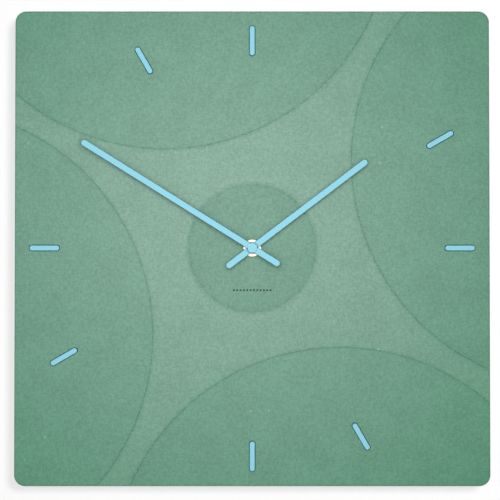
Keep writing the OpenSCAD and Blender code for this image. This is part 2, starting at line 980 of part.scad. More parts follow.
module stator() {
    arm_top = [stator_arm_x, coil_top];
    arm_bottom = [stator_arm_x, coil_bottom];
    color("#a7abb0")
        layer(stator_layer, stator_back)
            difference() {
                union() {
                    translate(rotor_at) circle(stator_ring_r);
                    link_shape(arm_bottom, arm_top, stator_arm_w);
                    link_shape(arm_top, [coil_x, coil_top], stator_arm_w);
                    link_shape(arm_bottom, [coil_x, coil_bottom], stator_arm_w);
                }
                translate(rotor_at) circle(magnet_r + air_gap);
                for (z = [coil_bottom, coil_top]) {
                    translate([coil_x, z]) circle(coil_screw_r);
                }
            }
}

module coil_core() {
    color("#a7abb0")
        layer(stator_back, stator_back + core_t)
            difference() {
                union() {
                    box_shape([coil_x - core_w / 2, coil_bottom], [coil_x + core_w / 2, coil_top]);
                    for (z = [coil_bottom, coil_top]) {
                        translate([coil_x, z]) circle(stator_arm_w / 2);
                    }
                }
                for (z = [coil_bottom, coil_top]) {
                    translate([coil_x, z]) circle(coil_screw_r);
                }
            }
}

// Upright round piece about the coil's axis
module coil_round(low, high, r) {
    translate([coil_x, case_y + core_mid, low]) cylinder(h = high - low, r = r);
}

module coil_bobbin() {
    low = coil_bottom + bobbin_margin;
    high = coil_top - bobbin_margin;
    color("#d9c9a0")
        difference() {
            union() {
                coil_round(low, high, tube_r);
                coil_round(low, low + flange_t, flange_r);
                coil_round(high - flange_t, high, flange_r);
            }
            layer(stator_back, stator_back + core_t)
                box_shape([coil_x - core_w / 2, coil_bottom], [coil_x + core_w / 2, coil_top]);
        }
}

module coil_winding() {
    low = coil_bottom + bobbin_margin + flange_t;
    high = coil_top - bobbin_margin - flange_t;
    color("#b5652b")
        difference() {
            coil_round(low, high, winding_r);
            coil_round(low - cut, high + cut, tube_r);
        }
}

module coil_screws() {
    head_layer = stator_back + core_t;
    color("#b9bcc0")
        at_each([[coil_x, coil_bottom], [coil_x, coil_top]]) {
            difference() {
                layer(head_layer, head_layer + coil_head_t) circle(screw_head_r);
                layer(head_layer + coil_head_t / 2, head_layer + coil_head_t + cut)
                    square([2 * screw_head_r + cut, screw_slot_w], center = true);
            }
            layer(stator_layer, head_layer + coil_head_t / 4) circle(coil_screw_r);
        }
}

module circuit_board() {
    color("#b98a4a")
        layer(plate_back, circuit_back)
            box_shape([board_left, circuit_bottom], [plate_edge, plate_edge]);
}

module chip_blob() {
    blob_r = 3.2;
    blob_h = 1.3;
    sphere_r = (blob_r * blob_r + blob_h * blob_h) / (2 * blob_h);
    color("#1c1c1e")
        at([board_left + 7, circuit_bottom + 5.5])
            intersection() {
                layer(circuit_back, circuit_back + 2 * blob_h) circle(blob_r + cut);
                translate([0, case_y + circuit_back + blob_h - sphere_r, 0]) sphere(sphere_r);
            }
}

module crystal_can() {
    can_r = 1;
    color("#c4c7ca")
        translate([board_left + 13, case_y + circuit_back + can_r, circuit_bottom + 3])
            rotate([0, 90, 0]) {
                cylinder(h = 6, r = can_r);
                for (side = [-1, 1]) {
                    translate([side * 0.5, 0, -1.5]) cylinder(h = 1.5 + root, r = 0.15);
                }
            }
}

// A strip's flat foot that is soldered on the circuit board
module contact_foot(low, high) {
    layer(circuit_back, circuit_back + strip_t) box_shape(low, high);
}

module positive_contact() {
    foot = circuit_bottom + 6;
    color("#d2d4d6") {
        layer(cell_depth - pad_half, circuit_back + strip_h)
            box_shape([strip_in, cell_z - pad_half], [strip_out, cell_z + pad_half]);
        layer(circuit_back, circuit_back + strip_h)
            box_shape([strip_in, cell_z], [strip_out, foot]);
        contact_foot([strip_in - 2.5, foot - 3], [strip_out, foot]);
    }
}

module negative_contact() {
    bump_x = cell_left - cell_end_gap;
    color("#d2d4d6") {
        layer(cell_depth - pad_half, circuit_back + strip_h)
            box_shape([-strip_out, cell_z - pad_half], [-strip_in, cell_z + pad_half]);
        layer(circuit_back, circuit_back + strip_h)
            intersection() {
                difference() {
                    plate_shape(2 * strip_out, 2 * strip_out, strip_bend_r);
                    plate_shape(2 * strip_in, 2 * strip_in, strip_bend_r - strip_t);
                }
                box_shape([-strip_out, cell_z], [board_left + 4, strip_out]);
            }
        contact_foot([board_left + 1, strip_out - 3], [board_left + 4, strip_out]);
        layer(cell_depth - 3, cell_depth + 3)
            polygon([
                [-strip_in - strip_t / 2, cell_z - pad_half],
                [-strip_in, cell_z - pad_half],
                [bump_x, cell_z - 0.6],
                [bump_x, cell_z + 0.6],
                [-strip_in, cell_z + pad_half],
                [-strip_in - strip_t / 2, cell_z + pad_half],
                [bump_x - strip_t, cell_z + 0.6],
                [bump_x - strip_t, cell_z - 0.6]
            ]);
    }
}

module setting_shaft() {
    color("#f0eee6")
        at(setting_at) {
            layer(works_layer, works_layer + works_t)
                gear_shape(cannon_teeth, works_mod, setting_phase);
            layer(works_layer, knob_layer + knob_t / 2) circle(setting_shaft_r);
            layer(works_layer - setting_pivot_l, works_layer + root) circle(setting_pivot_r);
        }
}

module setting_knob() {
    color("#c9cbcd")
        at(setting_at)
            difference() {
                layer(knob_layer, knob_layer + knob_t)
                    difference() {
                        circle(knob_r);
                        for (k = [0:knob_grips - 1]) {
                            translate(polar(knob_r + grip_out, 360 * k / knob_grips)) circle(grip_r);
                        }
                    }
                layer(knob_layer - cut, knob_layer + knob_t / 2) circle(setting_shaft_r);
                layer(knob_layer + knob_t - knob_ring_d, knob_layer + knob_t + cut)
                    difference() {
                        circle(knob_r - knob_ring_out);
                        circle(knob_r - knob_ring_in);
                    }
            }
}

// Round piece along the cell's axis, from left to right
module cell_round(left, right, r) {
    translate([left, case_y + cell_depth, cell_z])
        rotate([0, 90, 0]) cylinder(h = right - left, r = r);
}

module battery_can() {
    color("#cfd1d3") {
        cell_round(cell_left, cell_right - nub_l, cell_r - sleeve_t);
        cell_round(cell_right - nub_l - root, cell_right, nub_r);
    }
}

module battery_sleeve() {
    left = cell_left + sleeve_end;
    right = cell_right - nub_l - sleeve_end;
    color("#35506e")
        difference() {
            cell_round(left, right, cell_r);
            cell_round(left - cut, right + cut, cell_r - sleeve_t);
        }
}

module hanger_plate() {
    color("#b9bcc0")
        difference() {
            at([0, hanger_z])
                slab(back_y - hanger_t, back_y)
                    difference() {
                        plate_shape(hanger_w, hanger_h, hanger_r);
                        keyhole_shape();
                    }
            hanger_screw_places() turned(back_y) hanger_screw_section(cut);
        }
}

module hanger_screws() {
    color("#c9a94f")
        hanger_screw_places()
            difference() {
                turned(back_y) hanger_screw_section(0);
                for (turn = [0, 90]) {
                    slab(back_y - hanger_cross_d, back_y + cut)
                        rotate(turn) square([hanger_cross_l, hanger_cross_w], center = true);
                }
            }
}

module wall_pad(side, height) {
    away = board_w / 2 - pad_inset;
    color("#6b6f6c") at([side * away, height * away]) slab(back_y, 0) circle(pad_d / 2);
}

dial_board();
hour_mark(12);  // hour_mark_12
hour_mark(2);  // hour_mark_2
hour_mark(3);  // hour_mark_3
hour_mark(5);  // hour_mark_5
hour_mark(6);  // hour_mark_6
hour_mark(8);  // hour_mark_8
hour_mark(9);  // hour_mark_9
hour_mark(11);  // hour_mark_11
hour_hand();
hour_hand_collet();
minute_hand();
minute_hand_collet();
minute_hand_cap();
bush_nut();
bush_washer();
rubber_washer();
threaded_bush();
case_front();
case_back();
mid_plate();
train_bridge();
bridge_screws();
hour_wheel();
minute_pipe();
centre_wheel();
minute_works_wheel();
third_wheel();
seconds_wheel();
seconds_arbor();
intermediate_wheel();
rotor_spindle();
rotor_magnet();
stator();
coil_core();
coil_bobbin();
coil_winding();
coil_screws();
circuit_board();
chip_blob();
crystal_can();
positive_contact();
negative_contact();
setting_shaft();
setting_knob();
battery_can();
battery_sleeve();
hanger_plate();
hanger_screws();
wall_pad(-1, 1);  // wall_pad_top_left
wall_pad(1, 1);  // wall_pad_top_right
wall_pad(-1, -1);  // wall_pad_bottom_left
wall_pad(1, -1);  // wall_pad_bottom_right
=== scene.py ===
"""Looks of the square wall clock: green fibreboard dial, blue enamelled marks and hands,
and the quartz movement let into its back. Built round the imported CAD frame."""

import math

import bmesh
import bpy
from bpy.props import FloatProperty, FloatVectorProperty, IntProperty, PointerProperty
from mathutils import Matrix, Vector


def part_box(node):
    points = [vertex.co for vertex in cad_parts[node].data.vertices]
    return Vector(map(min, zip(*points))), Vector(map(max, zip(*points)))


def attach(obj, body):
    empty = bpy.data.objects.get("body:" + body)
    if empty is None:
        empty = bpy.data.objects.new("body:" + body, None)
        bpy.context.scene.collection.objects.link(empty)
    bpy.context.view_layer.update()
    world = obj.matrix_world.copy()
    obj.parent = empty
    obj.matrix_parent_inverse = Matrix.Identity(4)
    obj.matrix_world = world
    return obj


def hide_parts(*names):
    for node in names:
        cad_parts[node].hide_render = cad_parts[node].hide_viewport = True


bl_info = {
    "name": "Square wall clock",
    "version": (1, 0, 0),
    "blender": (4, 5, 0),
    "location": "View3D > Sidebar > Clock",
    "description": "Models the pieces and finishes of a square wall clock on its CAD frame",
    "category": "Mesh",
}

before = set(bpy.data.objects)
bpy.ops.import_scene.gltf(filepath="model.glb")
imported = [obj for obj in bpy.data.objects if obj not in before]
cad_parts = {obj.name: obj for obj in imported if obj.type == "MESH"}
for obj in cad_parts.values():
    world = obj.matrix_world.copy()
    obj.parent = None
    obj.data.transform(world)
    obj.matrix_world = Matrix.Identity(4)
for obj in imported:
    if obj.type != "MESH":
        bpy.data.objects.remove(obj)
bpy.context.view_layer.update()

MM = 0.001
CUT = 1 * MM  # how far a cutter runs past the surface that it opens
WELD = 0.003 * MM  # points closer than this are one

# Levels along Y, from the frame: the wall is at 0 and the dial faces -Y
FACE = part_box("dial_board")[0].y
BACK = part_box("dial_board")[1].y
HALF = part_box("dial_board")[1].x
CASE_LOW, CASE_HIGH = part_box("case_back")
CELL_LOW, CELL_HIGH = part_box("battery_sleeve")
CAN_LOW, CAN_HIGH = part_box("battery_can")
KNOB_LOW, KNOB_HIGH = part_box("setting_knob")
PLATE_LOW, PLATE_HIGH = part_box("hanger_plate")
HOURS = (12, 2, 3, 5, 6, 8, 9, 11)

SLOPE = 0.2 * MM  # how far back the sloped edge of a hand or a mark goes


def linear(hex_code):
    """Turns an sRGB hex code to a linear colour."""
    parts = [int(hex_code[i : i + 2], 16) / 255 for i in (0, 2, 4)]
    return tuple(p / 12.92 if p <= 0.04045 else ((p + 0.055) / 1.055) ** 2.4 for p in parts)


# Modelling


def only(obj):
    """Makes one object the selected and active one."""
    bpy.ops.object.select_all(action="DESELECT")
    obj.select_set(True)
    bpy.context.view_layer.objects.active = obj


def apply_place(obj):
    """Moves an object's place, turn and scale into its mesh."""
    only(obj)
    bpy.ops.object.transform_apply(location=True, rotation=True, scale=True)


def pick(obj, kind, test):
    """Selects what passes a test, in edit mode. A vertex is tested by its place, an edge by its
    middle and its direction, and a face by its middle and its normal."""
    bpy.ops.mesh.select_mode(type=kind)
    bpy.ops.mesh.select_all(action="DESELECT")
    mesh = bmesh.from_edit_mesh(obj.data)
    if kind == "VERT":
        for v in mesh.verts:
            v.select_set(test(v.co))
    elif kind == "EDGE":
        for e in mesh.edges:
            a, b = (v.co for v in e.verts)
            e.select_set(test((a + b) / 2, (b - a).normalized()))
    else:
        for f in mesh.faces:
            f.select_set(test(f.calc_center_median(), f.normal))
    mesh.select_flush_mode()
    bmesh.update_edit_mesh(obj.data)


def slide(x=0, y=0, z=0):
    bpy.ops.transform.translate(value=(x, y, z))


def extrude(x=0, y=0, z=0):
    bpy.ops.mesh.extrude_region_move(TRANSFORM_OT_translate={"value": (x, y, z)})


def edit(obj):
    only(obj)
    bpy.ops.object.mode_set(mode="EDIT")


def leave():
    bpy.ops.mesh.select_all(action="SELECT")
    bpy.ops.mesh.normals_make_consistent(inside=False)
    bpy.ops.object.mode_set(mode="OBJECT")


def block(low, high, corner=0.0, steps=8):
    """Block between two corners, with its four edges along Y rounded."""
    middle = [(a + b) / 2 for a, b in zip(low, high)]
    size = [b - a for a, b in zip(low, high)]
    bpy.ops.mesh.primitive_cube_add(size=1, location=middle, scale=size)
    obj = bpy.context.object
    apply_place(obj)
    if corner:
        edit(obj)
        pick(obj, "EDGE", lambda at, way: abs(way.y) > 0.99)
        bpy.ops.mesh.bevel(offset=corner, segments=steps)
        leave()
    return obj


def disc(place, radius, front, back, steps=64):
    """Round piece about an axis along Y, at a place seen from the front."""
    bpy.ops.mesh.primitive_cylinder_add(
        vertices=steps,
        radius=radius,
        depth=back - front,
        location=(place[0], (front + back) / 2, place[1]),
        rotation=(math.pi / 2, 0, 0),
    )
    obj = bpy.context.object
    apply_place(obj)
    return obj


def bar(low, high, width, front, back, steps=40):
    """Upright bar with round ends, from one height to another on the dial's upright line."""
    bpy.ops.mesh.primitive_circle_add(
        vertices=steps,
        radius=width / 2 / math.cos(math.pi / steps),
        fill_type="NGON",
        location=(0, back, 0),
        rotation=(math.pi / 2, math.pi / steps, 0),
    )
    obj = bpy.context.object
    apply_place(obj)
    edit(obj)
    pick(obj, "VERT", lambda at: at.z > 0)
    slide(z=high - width / 2)
    pick(obj, "VERT", lambda at: at.z < 0)
    slide(z=low + width / 2)
    bpy.ops.mesh.select_all(action="SELECT")
    extrude(y=front - back)
    leave()
    return obj


def put_in_order(mesh):
    """Numbers a mesh's points and faces by place. A boolean numbers them in a new order each
    run, and later steps that choose between points would then shape the piece differently."""
    places = [tuple(round(c, 8) for c in point.co) for point in mesh.vertices]
    ranked = sorted(range(len(places)), key=places.__getitem__)
    number = {old: new for new, old in enumerate(ranked)}
    points = [tuple(mesh.vertices[old].co) for old in ranked]
    faces = []
    for face in mesh.polygons:
        ring = [number[old] for old in face.vertices]
        first = ring.index(min(ring))
        faces.append(ring[first:] + ring[:first])
    mesh.clear_geometry()
    mesh.from_pydata(points, [], sorted(faces))
    mesh.update()


def combine(obj, tool, operation="DIFFERENCE"):
    """Cuts a tool out of a piece, or joins it on, and removes the tool."""
    only(obj)
    modifier = obj.modifiers.new("combine", "BOOLEAN")
    modifier.operation = operation
    modifier.object = tool
    modifier.solver = "EXACT"
    bpy.ops.object.modifier_apply(modifier=modifier.name)
    bpy.data.objects.remove(tool)
    put_in_order(obj.data)
    edit(obj)
    bpy.ops.mesh.select_all(action="SELECT")
    bpy.ops.mesh.remove_doubles(threshold=WELD)
    bpy.ops.mesh.dissolve_degenerate(threshold=WELD)
    leave()


def flatten(obj):
    """Makes one face of what lies in one plane, so that edges round evenly."""
    edit(obj)
    bpy.ops.mesh.select_all(action="SELECT")
    bpy.ops.mesh.dissolve_limited(angle_limit=math.radians(0.5))
    leave()


def chamfer(obj, front, width, depth):
    """Slopes the border of a piece's front faces, which look along -Y."""
    edit(obj)
    pick(obj, "FACE", lambda at, normal: normal.y < -0.9 and at.y < front + 0.01 * MM)
    bpy.ops.mesh.inset(thickness=width, depth=0)
    slide(y=-depth)
    leave()


def soften(obj, width, steps=2, angle=40):
    """Rounds every edge that is sharper than an angle in degrees."""
    only(obj)
    modifier = obj.modifiers.new("soften", "BEVEL")
    modifier.width = width
    modifier.segments = steps
    modifier.limit_method = "ANGLE"
    modifier.angle_limit = math.radians(angle)
    modifier.use_clamp_overlap = True
    bpy.ops.object.modifier_apply(modifier=modifier.name)


def settle(obj, name, body, slot, material, *nodes):
    """Finishes a piece: its name, shading, material, and what it rides on and stands for."""
    obj.name = name
    obj.data.name = name
    only(obj)
    bpy.ops.object.shade_smooth_by_angle(angle=math.radians(35))
    modifier = obj.modifiers.new("normals", "WEIGHTED_NORMAL")
    modifier.keep_sharp = True
    bpy.ops.object.modifier_apply(modifier=modifier.name)
    obj.data.materials.clear()
    obj.data.materials.append(material)
    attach(obj, body)
    if nodes:
        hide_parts(*nodes)
    return obj


def copy_turned(obj, angle):
    """Copy of a piece with its own mesh, turned clockwise about the hands' axis."""
    other = obj.copy()
    other.data = obj.data.copy()
    bpy.context.collection.objects.link(other)
    other.rotation_euler = (0, angle, 0)
    apply_place(other)
    return other


# Materials


def add(tree, kind, inputs=None, **settings):
    """Adds a node with its settings. An input is a value, or another node's output to link."""
    node = tree.nodes.new("ShaderNode" + kind)
    for name, value in settings.items():
        setattr(node, name, value)
    for key, value in (inputs or {}).items():
        if isinstance(value, bpy.types.NodeSocket):
            tree.links.new(value, node.inputs[key])
        else:
            node.inputs[key].default_value = value
    return node


def start_material(name):
    """New material with a shader and a place on the piece in millimetres."""
    material = bpy.data.materials.new(name)
    material.use_nodes = True
    tree = material.node_tree
    tree.nodes.clear()
    shader = add(tree, "BsdfPrincipled")
    add(tree, "OutputMaterial", {"Surface": shader.outputs[0]})
    place = add(tree, "TexCoord").outputs["Object"]
    millimetres = add(tree, "VectorMath", {0: place, "Scale": 1000.0}, operation="SCALE")
    return material, tree, shader, millimetres.outputs[0]


def grained(
    name,
    colour,
    roughness,
    grain,
    depth,
    metallic=0.0,
    shade=0.08,
    gloss_change=0.08,
    stretch=(1, 1, 1),
    **sockets,
):
    """Material of one colour whose grain, in mm, varies its shade and gloss and stands out by
    a depth in mm. Stretch lengthens the grain along an axis, as brushing or drawing does."""
    material, tree, shader, place = start_material(name)
    turned = add(tree, "Mapping", {0: place, "Scale": [1 / s for s in stretch]})
    noise = add(tree, "TexNoise", {0: turned.outputs[0], "Scale": 1 / grain, "Detail": 4.0})
    dark = [c * (1 - shade) for c in colour] + [1]
    light = [min(1, c * (1 + shade)) for c in colour] + [1]
    mix = add(tree, "Mix", {0: noise.outputs[0], 6: dark, 7: light}, data_type="RGBA")
    gloss = add(
        tree,
        "MapRange",
        {0: noise.outputs[0], 3: roughness - gloss_change, 4: roughness + gloss_change},
    )
    bump = add(
        tree,
        "Bump",
        {"Height": noise.outputs[0], "Distance": depth * MM, "Strength": 1.0},
    )
    shader.inputs["Metallic"].default_value = metallic
    tree.links.new(mix.outputs[2], shader.inputs["Base Color"])
    tree.links.new(gloss.outputs[0], shader.inputs["Roughness"])
    tree.links.new(bump.outputs[0], shader.inputs["Normal"])
    for key, value in sockets.items():
        shader.inputs[key.replace("_", " ")].default_value = value
    return material


def fibreboard(board):
    """Fibreboard dyed through and sanded. Short fibres lie every way in its face, so the colour
    is finely mottled and the surface is matt. The four fields and the middle are dyed deeper
    than the band between them, and the sides and back have one dye. The engraved lines and a
    soft shoulder by each are darkened with painted shade, and the face is painted a deeper
    green away from its brightest point, a painted light falloff."""
    material, tree, shader, place = start_material("dyed_fibreboard")
    axes = add(tree, "SeparateXYZ", {0: place}).outputs
    flat = add(tree, "CombineXYZ", {0: axes[0], 2: axes[2]}).outputs[0]
    smooth = {"interpolation_type": "SMOOTHSTEP"}
    blend = {"data_type": "RGBA"}
    multiply = {"data_type": "RGBA", "blend_type": "MULTIPLY"}

    # How far a place is from the nearest arc's centre, from the dial's, and from the point of
    #     # the face where the painted light is brightest, near the middle
    painted_light_centre, painted_falloff_reach = (-14, 0, 28), 241
    centres = [(0, 0, 0), painted_light_centre]
    for k in range(4):
        turn = board.arc_turn + k * math.pi / 2
        away = board.arc_away / MM
        centres.append((away * math.cos(turn), 0, away * math.sin(turn)))
    to_middle, to_painted_light_centre, to_arc, *others = (
        add(tree, "VectorMath", {0: flat, 1: at}, operation="DISTANCE").outputs["Value"]
        for at in centres
    )
    for other in others:
        to_arc = add(tree, "Math", {0: to_arc, 1: other}, operation="MINIMUM").outputs[0]
    arc_r, ring_r = board.arc_radius / MM, board.ring_radius / MM
    in_field = add(tree, "MapRange", {0: to_arc, 1: arc_r + 2.6, 2: arc_r - 0.2}, **smooth)
    in_disc = add(tree, "MapRange", {0: to_middle, 1: ring_r + 3.4, 2: ring_r - 0.4}, **smooth)
    on_face = add(
        tree, "MapRange", {0: axes[1], 1: FACE / MM + 1.6, 2: FACE / MM + 1.0}, **smooth
    ).outputs[0]

    field, band, middle, core = (
        [*dye, 1]
        for dye in (board.field_colour, board.band_colour, board.disc_colour, board.core_colour)
    )
    base = add(tree, "Mix", {0: in_field.outputs[0], 6: band, 7: field}, **blend).outputs[2]
    base = add(tree, "Mix", {0: in_disc.outputs[0], 6: base, 7: middle}, **blend).outputs[2]
    base = add(tree, "Mix", {0: on_face, 6: core, 7: base}, **blend).outputs[2]

    # Painted light falloff: the face is painted a deeper green the further it is from the point
    #     # where the light is brightest, standing in for the light falling off towards the
    #     corners
    out = add(tree, "Math", {0: to_painted_light_centre, 1: 1 / painted_falloff_reach}, operation="MULTIPLY").outputs[0]
    deep = add(tree, "Math", {0: out, 1: 1.4}, operation="POWER").outputs[0]
    deep = add(tree, "Math", {0: deep, 1: on_face}, operation="MULTIPLY").outputs[0]
    painted_falloff_tint = add(
        tree, "Mix", {0: deep, 6: (1, 1, 1, 1), 7: (0.51, 0.80, 0.65, 1)}, **blend
    ).outputs[2]
    base = add(tree, "Mix", {0: 1.0, 6: base, 7: painted_falloff_tint}, **multiply).outputs[2]

    # Painted shade: each engraved line is darkened, with a soft painted shaded shoulder about
    #     # 3 mm wide, standing in for the shade in and beside the groove
    off = []
    for distance, radius in ((to_arc, arc_r), (to_middle, ring_r)):
        past = add(tree, "Math", {0: distance, 1: radius}, operation="SUBTRACT").outputs[0]
        off.append(add(tree, "Math", {0: past}, operation="ABSOLUTE").outputs[0])
    line = add(tree, "Math", {0: off[0], 1: off[1]}, operation="MINIMUM").outputs[0]
    parts = []
    for start, end, amount in ((3.2, 0.3, 0.03), (0.8, 0.2, 0.05)):
        painted_line_shade = add(tree, "MapRange", {0: line, 1: start, 2: end, 4: amount}, **smooth)
        parts.append(
            add(tree, "Math", {0: painted_line_shade.outputs[0], 1: on_face}, operation="MULTIPLY").outputs[0]
        )
    dark = add(tree, "Math", {0: parts[0], 1: parts[1]}, operation="ADD").outputs[0]
    # The dark green mixed in here is the painted shade of the lines and their shoulders
    base = add(tree, "Mix", {0: dark, 6: base, 7: (0.02, 0.08, 0.05, 1)}, **blend).outputs[2]

    # Fibres: two crossed sets about 1 mm long, drawn a little coarser than real ones so that
    # they show, over a soft cloudiness about 20 mm across
    sets = []
    for stretch in ((0.55, 1, 1.5), (1.5, 1, 0.55)):
        laid = add(tree, "Mapping", {0: place, "Scale": stretch}).outputs[0]
        sets.append(add(tree, "TexNoise", {0: laid, "Scale": 0.75, "Detail": 3.0}).outputs[0])
    fibres = add(tree, "Math", {0: sets[0], 1: sets[1]}, operation="ADD").outputs[0]
    fibres = add(tree, "Math", {0: fibres, 1: 0.5}, operation="MULTIPLY").outputs[0]
    cloud = add(tree, "TexNoise", {0: place, "Scale": 0.05, "Detail": 2.0}).outputs[0]
    light = add(tree, "MapRange", {0: fibres, 1: 0.32, 2: 0.68, 3: 0.86, 4: 1.14}, **smooth)
    cloudy = add(tree, "MapRange", {0: cloud, 1: 0.3, 2: 0.7, 3: 0.97, 4: 1.03}, **smooth)
    shade = add(
        tree, "Math", {0: light.outputs[0], 1: cloudy.outputs[0]}, operation="MULTIPLY"
    ).outputs[0]
    base = add(tree, "Mix", {0: 1.0, 6: base, 7: shade}, **multiply).outputs[2]

    # A pale speck of undyed fibre every few centimetres
    cells = add(tree, "TexVoronoi", {0: flat, "Scale": 0.085}, feature="F1").outputs
    speck = add(tree, "Math", {0: cells["Distance"], 1: 0.055}, operation="LESS_THAN")
    chosen = add(tree, "SeparateColor", {0: cells["Color"]}).outputs[0]
    chosen = add(tree, "Math", {0: chosen, 1: 0.72}, operation="GREATER_THAN").outputs[0]
    speck = add(tree, "Math", {0: speck.outputs[0], 1: chosen}, operation="MULTIPLY").outputs[0]
    speck = add(tree, "Math", {0: speck, 1: 0.35}, operation="MULTIPLY").outputs[0]
    base = add(tree, "Mix", {0: speck, 6: base, 7: (0.55, 0.75, 0.62, 1)}, **blend).outputs[2]

    # Plain printed row of twelve dots
    pitch, dots = 2.1, 12
    column = add(tree, "Math", {0: axes[0], 1: pitch, 2: 0.0}, operation="WRAP").outputs[0]
    column = add(tree, "Math", {0: column, 1: pitch / 2}, operation="SUBTRACT").outputs[0]
    row = add(tree, "Math", {0: axes[2], 1: board.print_drop / MM}, operation="ADD").outputs[0]
    apart = add(tree, "CombineXYZ", {0: column, 1: row}).outputs[0]
    dot = add(tree, "VectorMath", {0: apart}, operation="LENGTH").outputs["Value"]
    inked = add(tree, "MapRange", {0: dot, 1: 0.78, 2: 0.55, 4: 0.85}, **smooth).outputs[0]
    inked = add(tree, "Math", {0: inked, 1: on_face}, operation="MULTIPLY").outputs[0]
    side = add(tree, "Math", {0: axes[0]}, operation="ABSOLUTE").outputs[0]
    within = add(tree, "Math", {0: side, 1: dots * pitch / 2}, operation="LESS_THAN").outputs[0]
    inked = add(tree, "Math", {0: inked, 1: within}, operation="MULTIPLY").outputs[0]
    base = add(tree, "Mix", {0: inked, 6: base, 7: (0.03, 0.045, 0.035, 1)}, **blend).outputs[2]

    rough = add(tree, "MapRange", {0: fibres, 1: 0.3, 2: 0.7, 3: 0.78, 4: 0.92}, **smooth)
    bump = add(tree, "Bump", {"Height": fibres, "Distance": 0.12 * MM, "Strength": 0.6})
    tree.links.new(base, shader.inputs["Base Color"])
    tree.links.new(rough.outputs[0], shader.inputs["Roughness"])
    tree.links.new(bump.outputs[0], shader.inputs["Normal"])
    shader.inputs["Specular IOR Level"].default_value = 0.25
    return material


MATERIALS = {}


def make_materials(scene):
    """Makes every finish of the clock."""
    made = MATERIALS
    made["green_fibreboard"] = fibreboard(scene.clock_board)
    made["blue_enamel"] = enamel(scene.clock_hands)
    # The cap has one blue all over
    made["cap_enamel"] = grained(
        "satin_cap_enamel", scene.clock_hands.enamel_colour, 0.42, 1.6, 0.01, shade=0.02,
        Coat_Weight=0.15, Coat_Roughness=0.3,
    )
    # Turned and tumbled aluminium
    made["hand_collet"] = grained(
        "turned_aluminium", linear("e3e3df"), 0.3, 0.25, 0.01, metallic=1.0
    )
    # Bright nickel plate: a mirror with faint turning marks
    made["nickel_plate"] = grained(
        "bright_nickel", linear("dad6ca"), 0.26, 0.3, 0.006, metallic=1.0, gloss_change=0.06
    )
    # Turned brass
    made["brass"] = grained("turned_brass", linear("d8b75e"), 0.28, 0.3, 0.01, metallic=1.0)
    # Moulded nitrile rubber: black and dead matt
    made["black_rubber"] = grained("nitrile_rubber", linear("232323"), 0.75, 0.6, 0.03)
    # Injection-moulded ABS with a spark-eroded grain of about 0.3 mm
    made["black_case"] = grained(
        "moulded_abs_black", linear("2a2a2c"), 0.52, 0.3, 0.03, shade=0.12
    )
    # Acetal and ABS mouldings of the works
    made["cream_plastic"] = grained("moulded_abs_cream", linear("e6e0cc"), 0.45, 0.8, 0.01)
    made["white_acetal"] = grained(
        "moulded_acetal_white", linear("efece2"), 0.38, 0.8, 0.008, Subsurface_Weight=0.1,
    )
    made["blue_acetal"] = grained("moulded_acetal_blue", linear("3f6fb5"), 0.38, 0.8, 0.008)
    # Sintered ferrite: grey and slightly granular
    made["magnet"] = grained("sintered_ferrite", linear("4a4b4e"), 0.55, 0.2, 0.02)
    # Zinc plate on rolled steel: bluish, with soft cloudy patches
    made["zinc_steel"] = grained(
        "zinc_plated_steel", linear("c9cdd2"), 0.34, 2.5, 0.008, metallic=1.0, shade=0.1,
        gloss_change=0.12,
    )
    # Stamped silicon steel with the rolling direction upright
    made["core_steel"] = grained(
        "rolled_silicon_steel", linear("a9adb2"), 0.36, 0.25, 0.008, metallic=1.0,
        stretch=(1, 1, 12),
    )
    # Nylon bobbin
    made["bobbin_plastic"] = grained("moulded_nylon", linear("d9c9a0"), 0.48, 0.6, 0.01)
    # Enamelled copper wire laid turn by turn
    made["copper_winding"] = winding()
    # Bare phenolic paper laminate
    made["circuit_laminate"] = grained(
        "phenolic_laminate", linear("b98a4a"), 0.5, 0.5, 0.01, stretch=(6, 1, 1)
    )
    # Cured epoxy drop over the chip: black and glossy
    made["black_epoxy"] = grained("cured_epoxy", linear("151517"), 0.14, 2.0, 0.02)
    # Tinned spring bronze
    made["tinned_metal"] = grained(
        "tinned_bronze", linear("dcdee0"), 0.3, 0.8, 0.008, metallic=1.0, shade=0.06
    )
    # Moulded knob
    made["grey_knob"] = grained("moulded_abs_grey", linear("b9bcc0"), 0.5, 0.3, 0.02)
    # Nickel-plated drawn steel can
    made["cell_can"] = grained(
        "drawn_nickel_can", linear("d6d6d2"), 0.24, 0.3, 0.006, metallic=1.0, stretch=(10, 1, 1)
    )
    made["cell_sleeve"] = sleeve_film(scene.clock_movement)
    # Pressed wool felt: a loose nap of fibres about 0.4 mm apart
    made["grey_felt"] = grained(
        "pressed_felt", linear("6d716e"), 0.95, 0.4, 0.25, shade=0.3, Sheen_Weight=0.4
    )


def enamel(hands):
    """Spray enamel on steel: satin, with a faint orange peel. The sloped edges and the sides
    are painted a deeper blue as painted shade, by how far the surface turns away from the front."""
    material = grained(
        "satin_enamel", hands.enamel_colour, 0.42, 1.6, 0.01, shade=0.02,
        Coat_Weight=0.15, Coat_Roughness=0.3,
    )
    tree = material.node_tree
    shader = next(n for n in tree.nodes if n.type == "BSDF_PRINCIPLED")
    face = shader.inputs["Base Color"].links[0].from_socket
    facing = add(tree, "SeparateXYZ", {0: add(tree, "NewGeometry").outputs["Normal"]})
    # Painted shade: where the surface turns away from the front, the colour goes to the deeper
    # rim blue
    rim = add(tree, "MapRange", {0: facing.outputs[1], 1: -0.97, 2: -0.9})
    base = add(
        tree, "Mix", {0: rim.outputs[0], 6: face, 7: (*hands.painted_rim_shade_colour, 1)}, data_type="RGBA"
    )
    tree.links.new(base.outputs[2], shader.inputs["Base Color"])
    return material


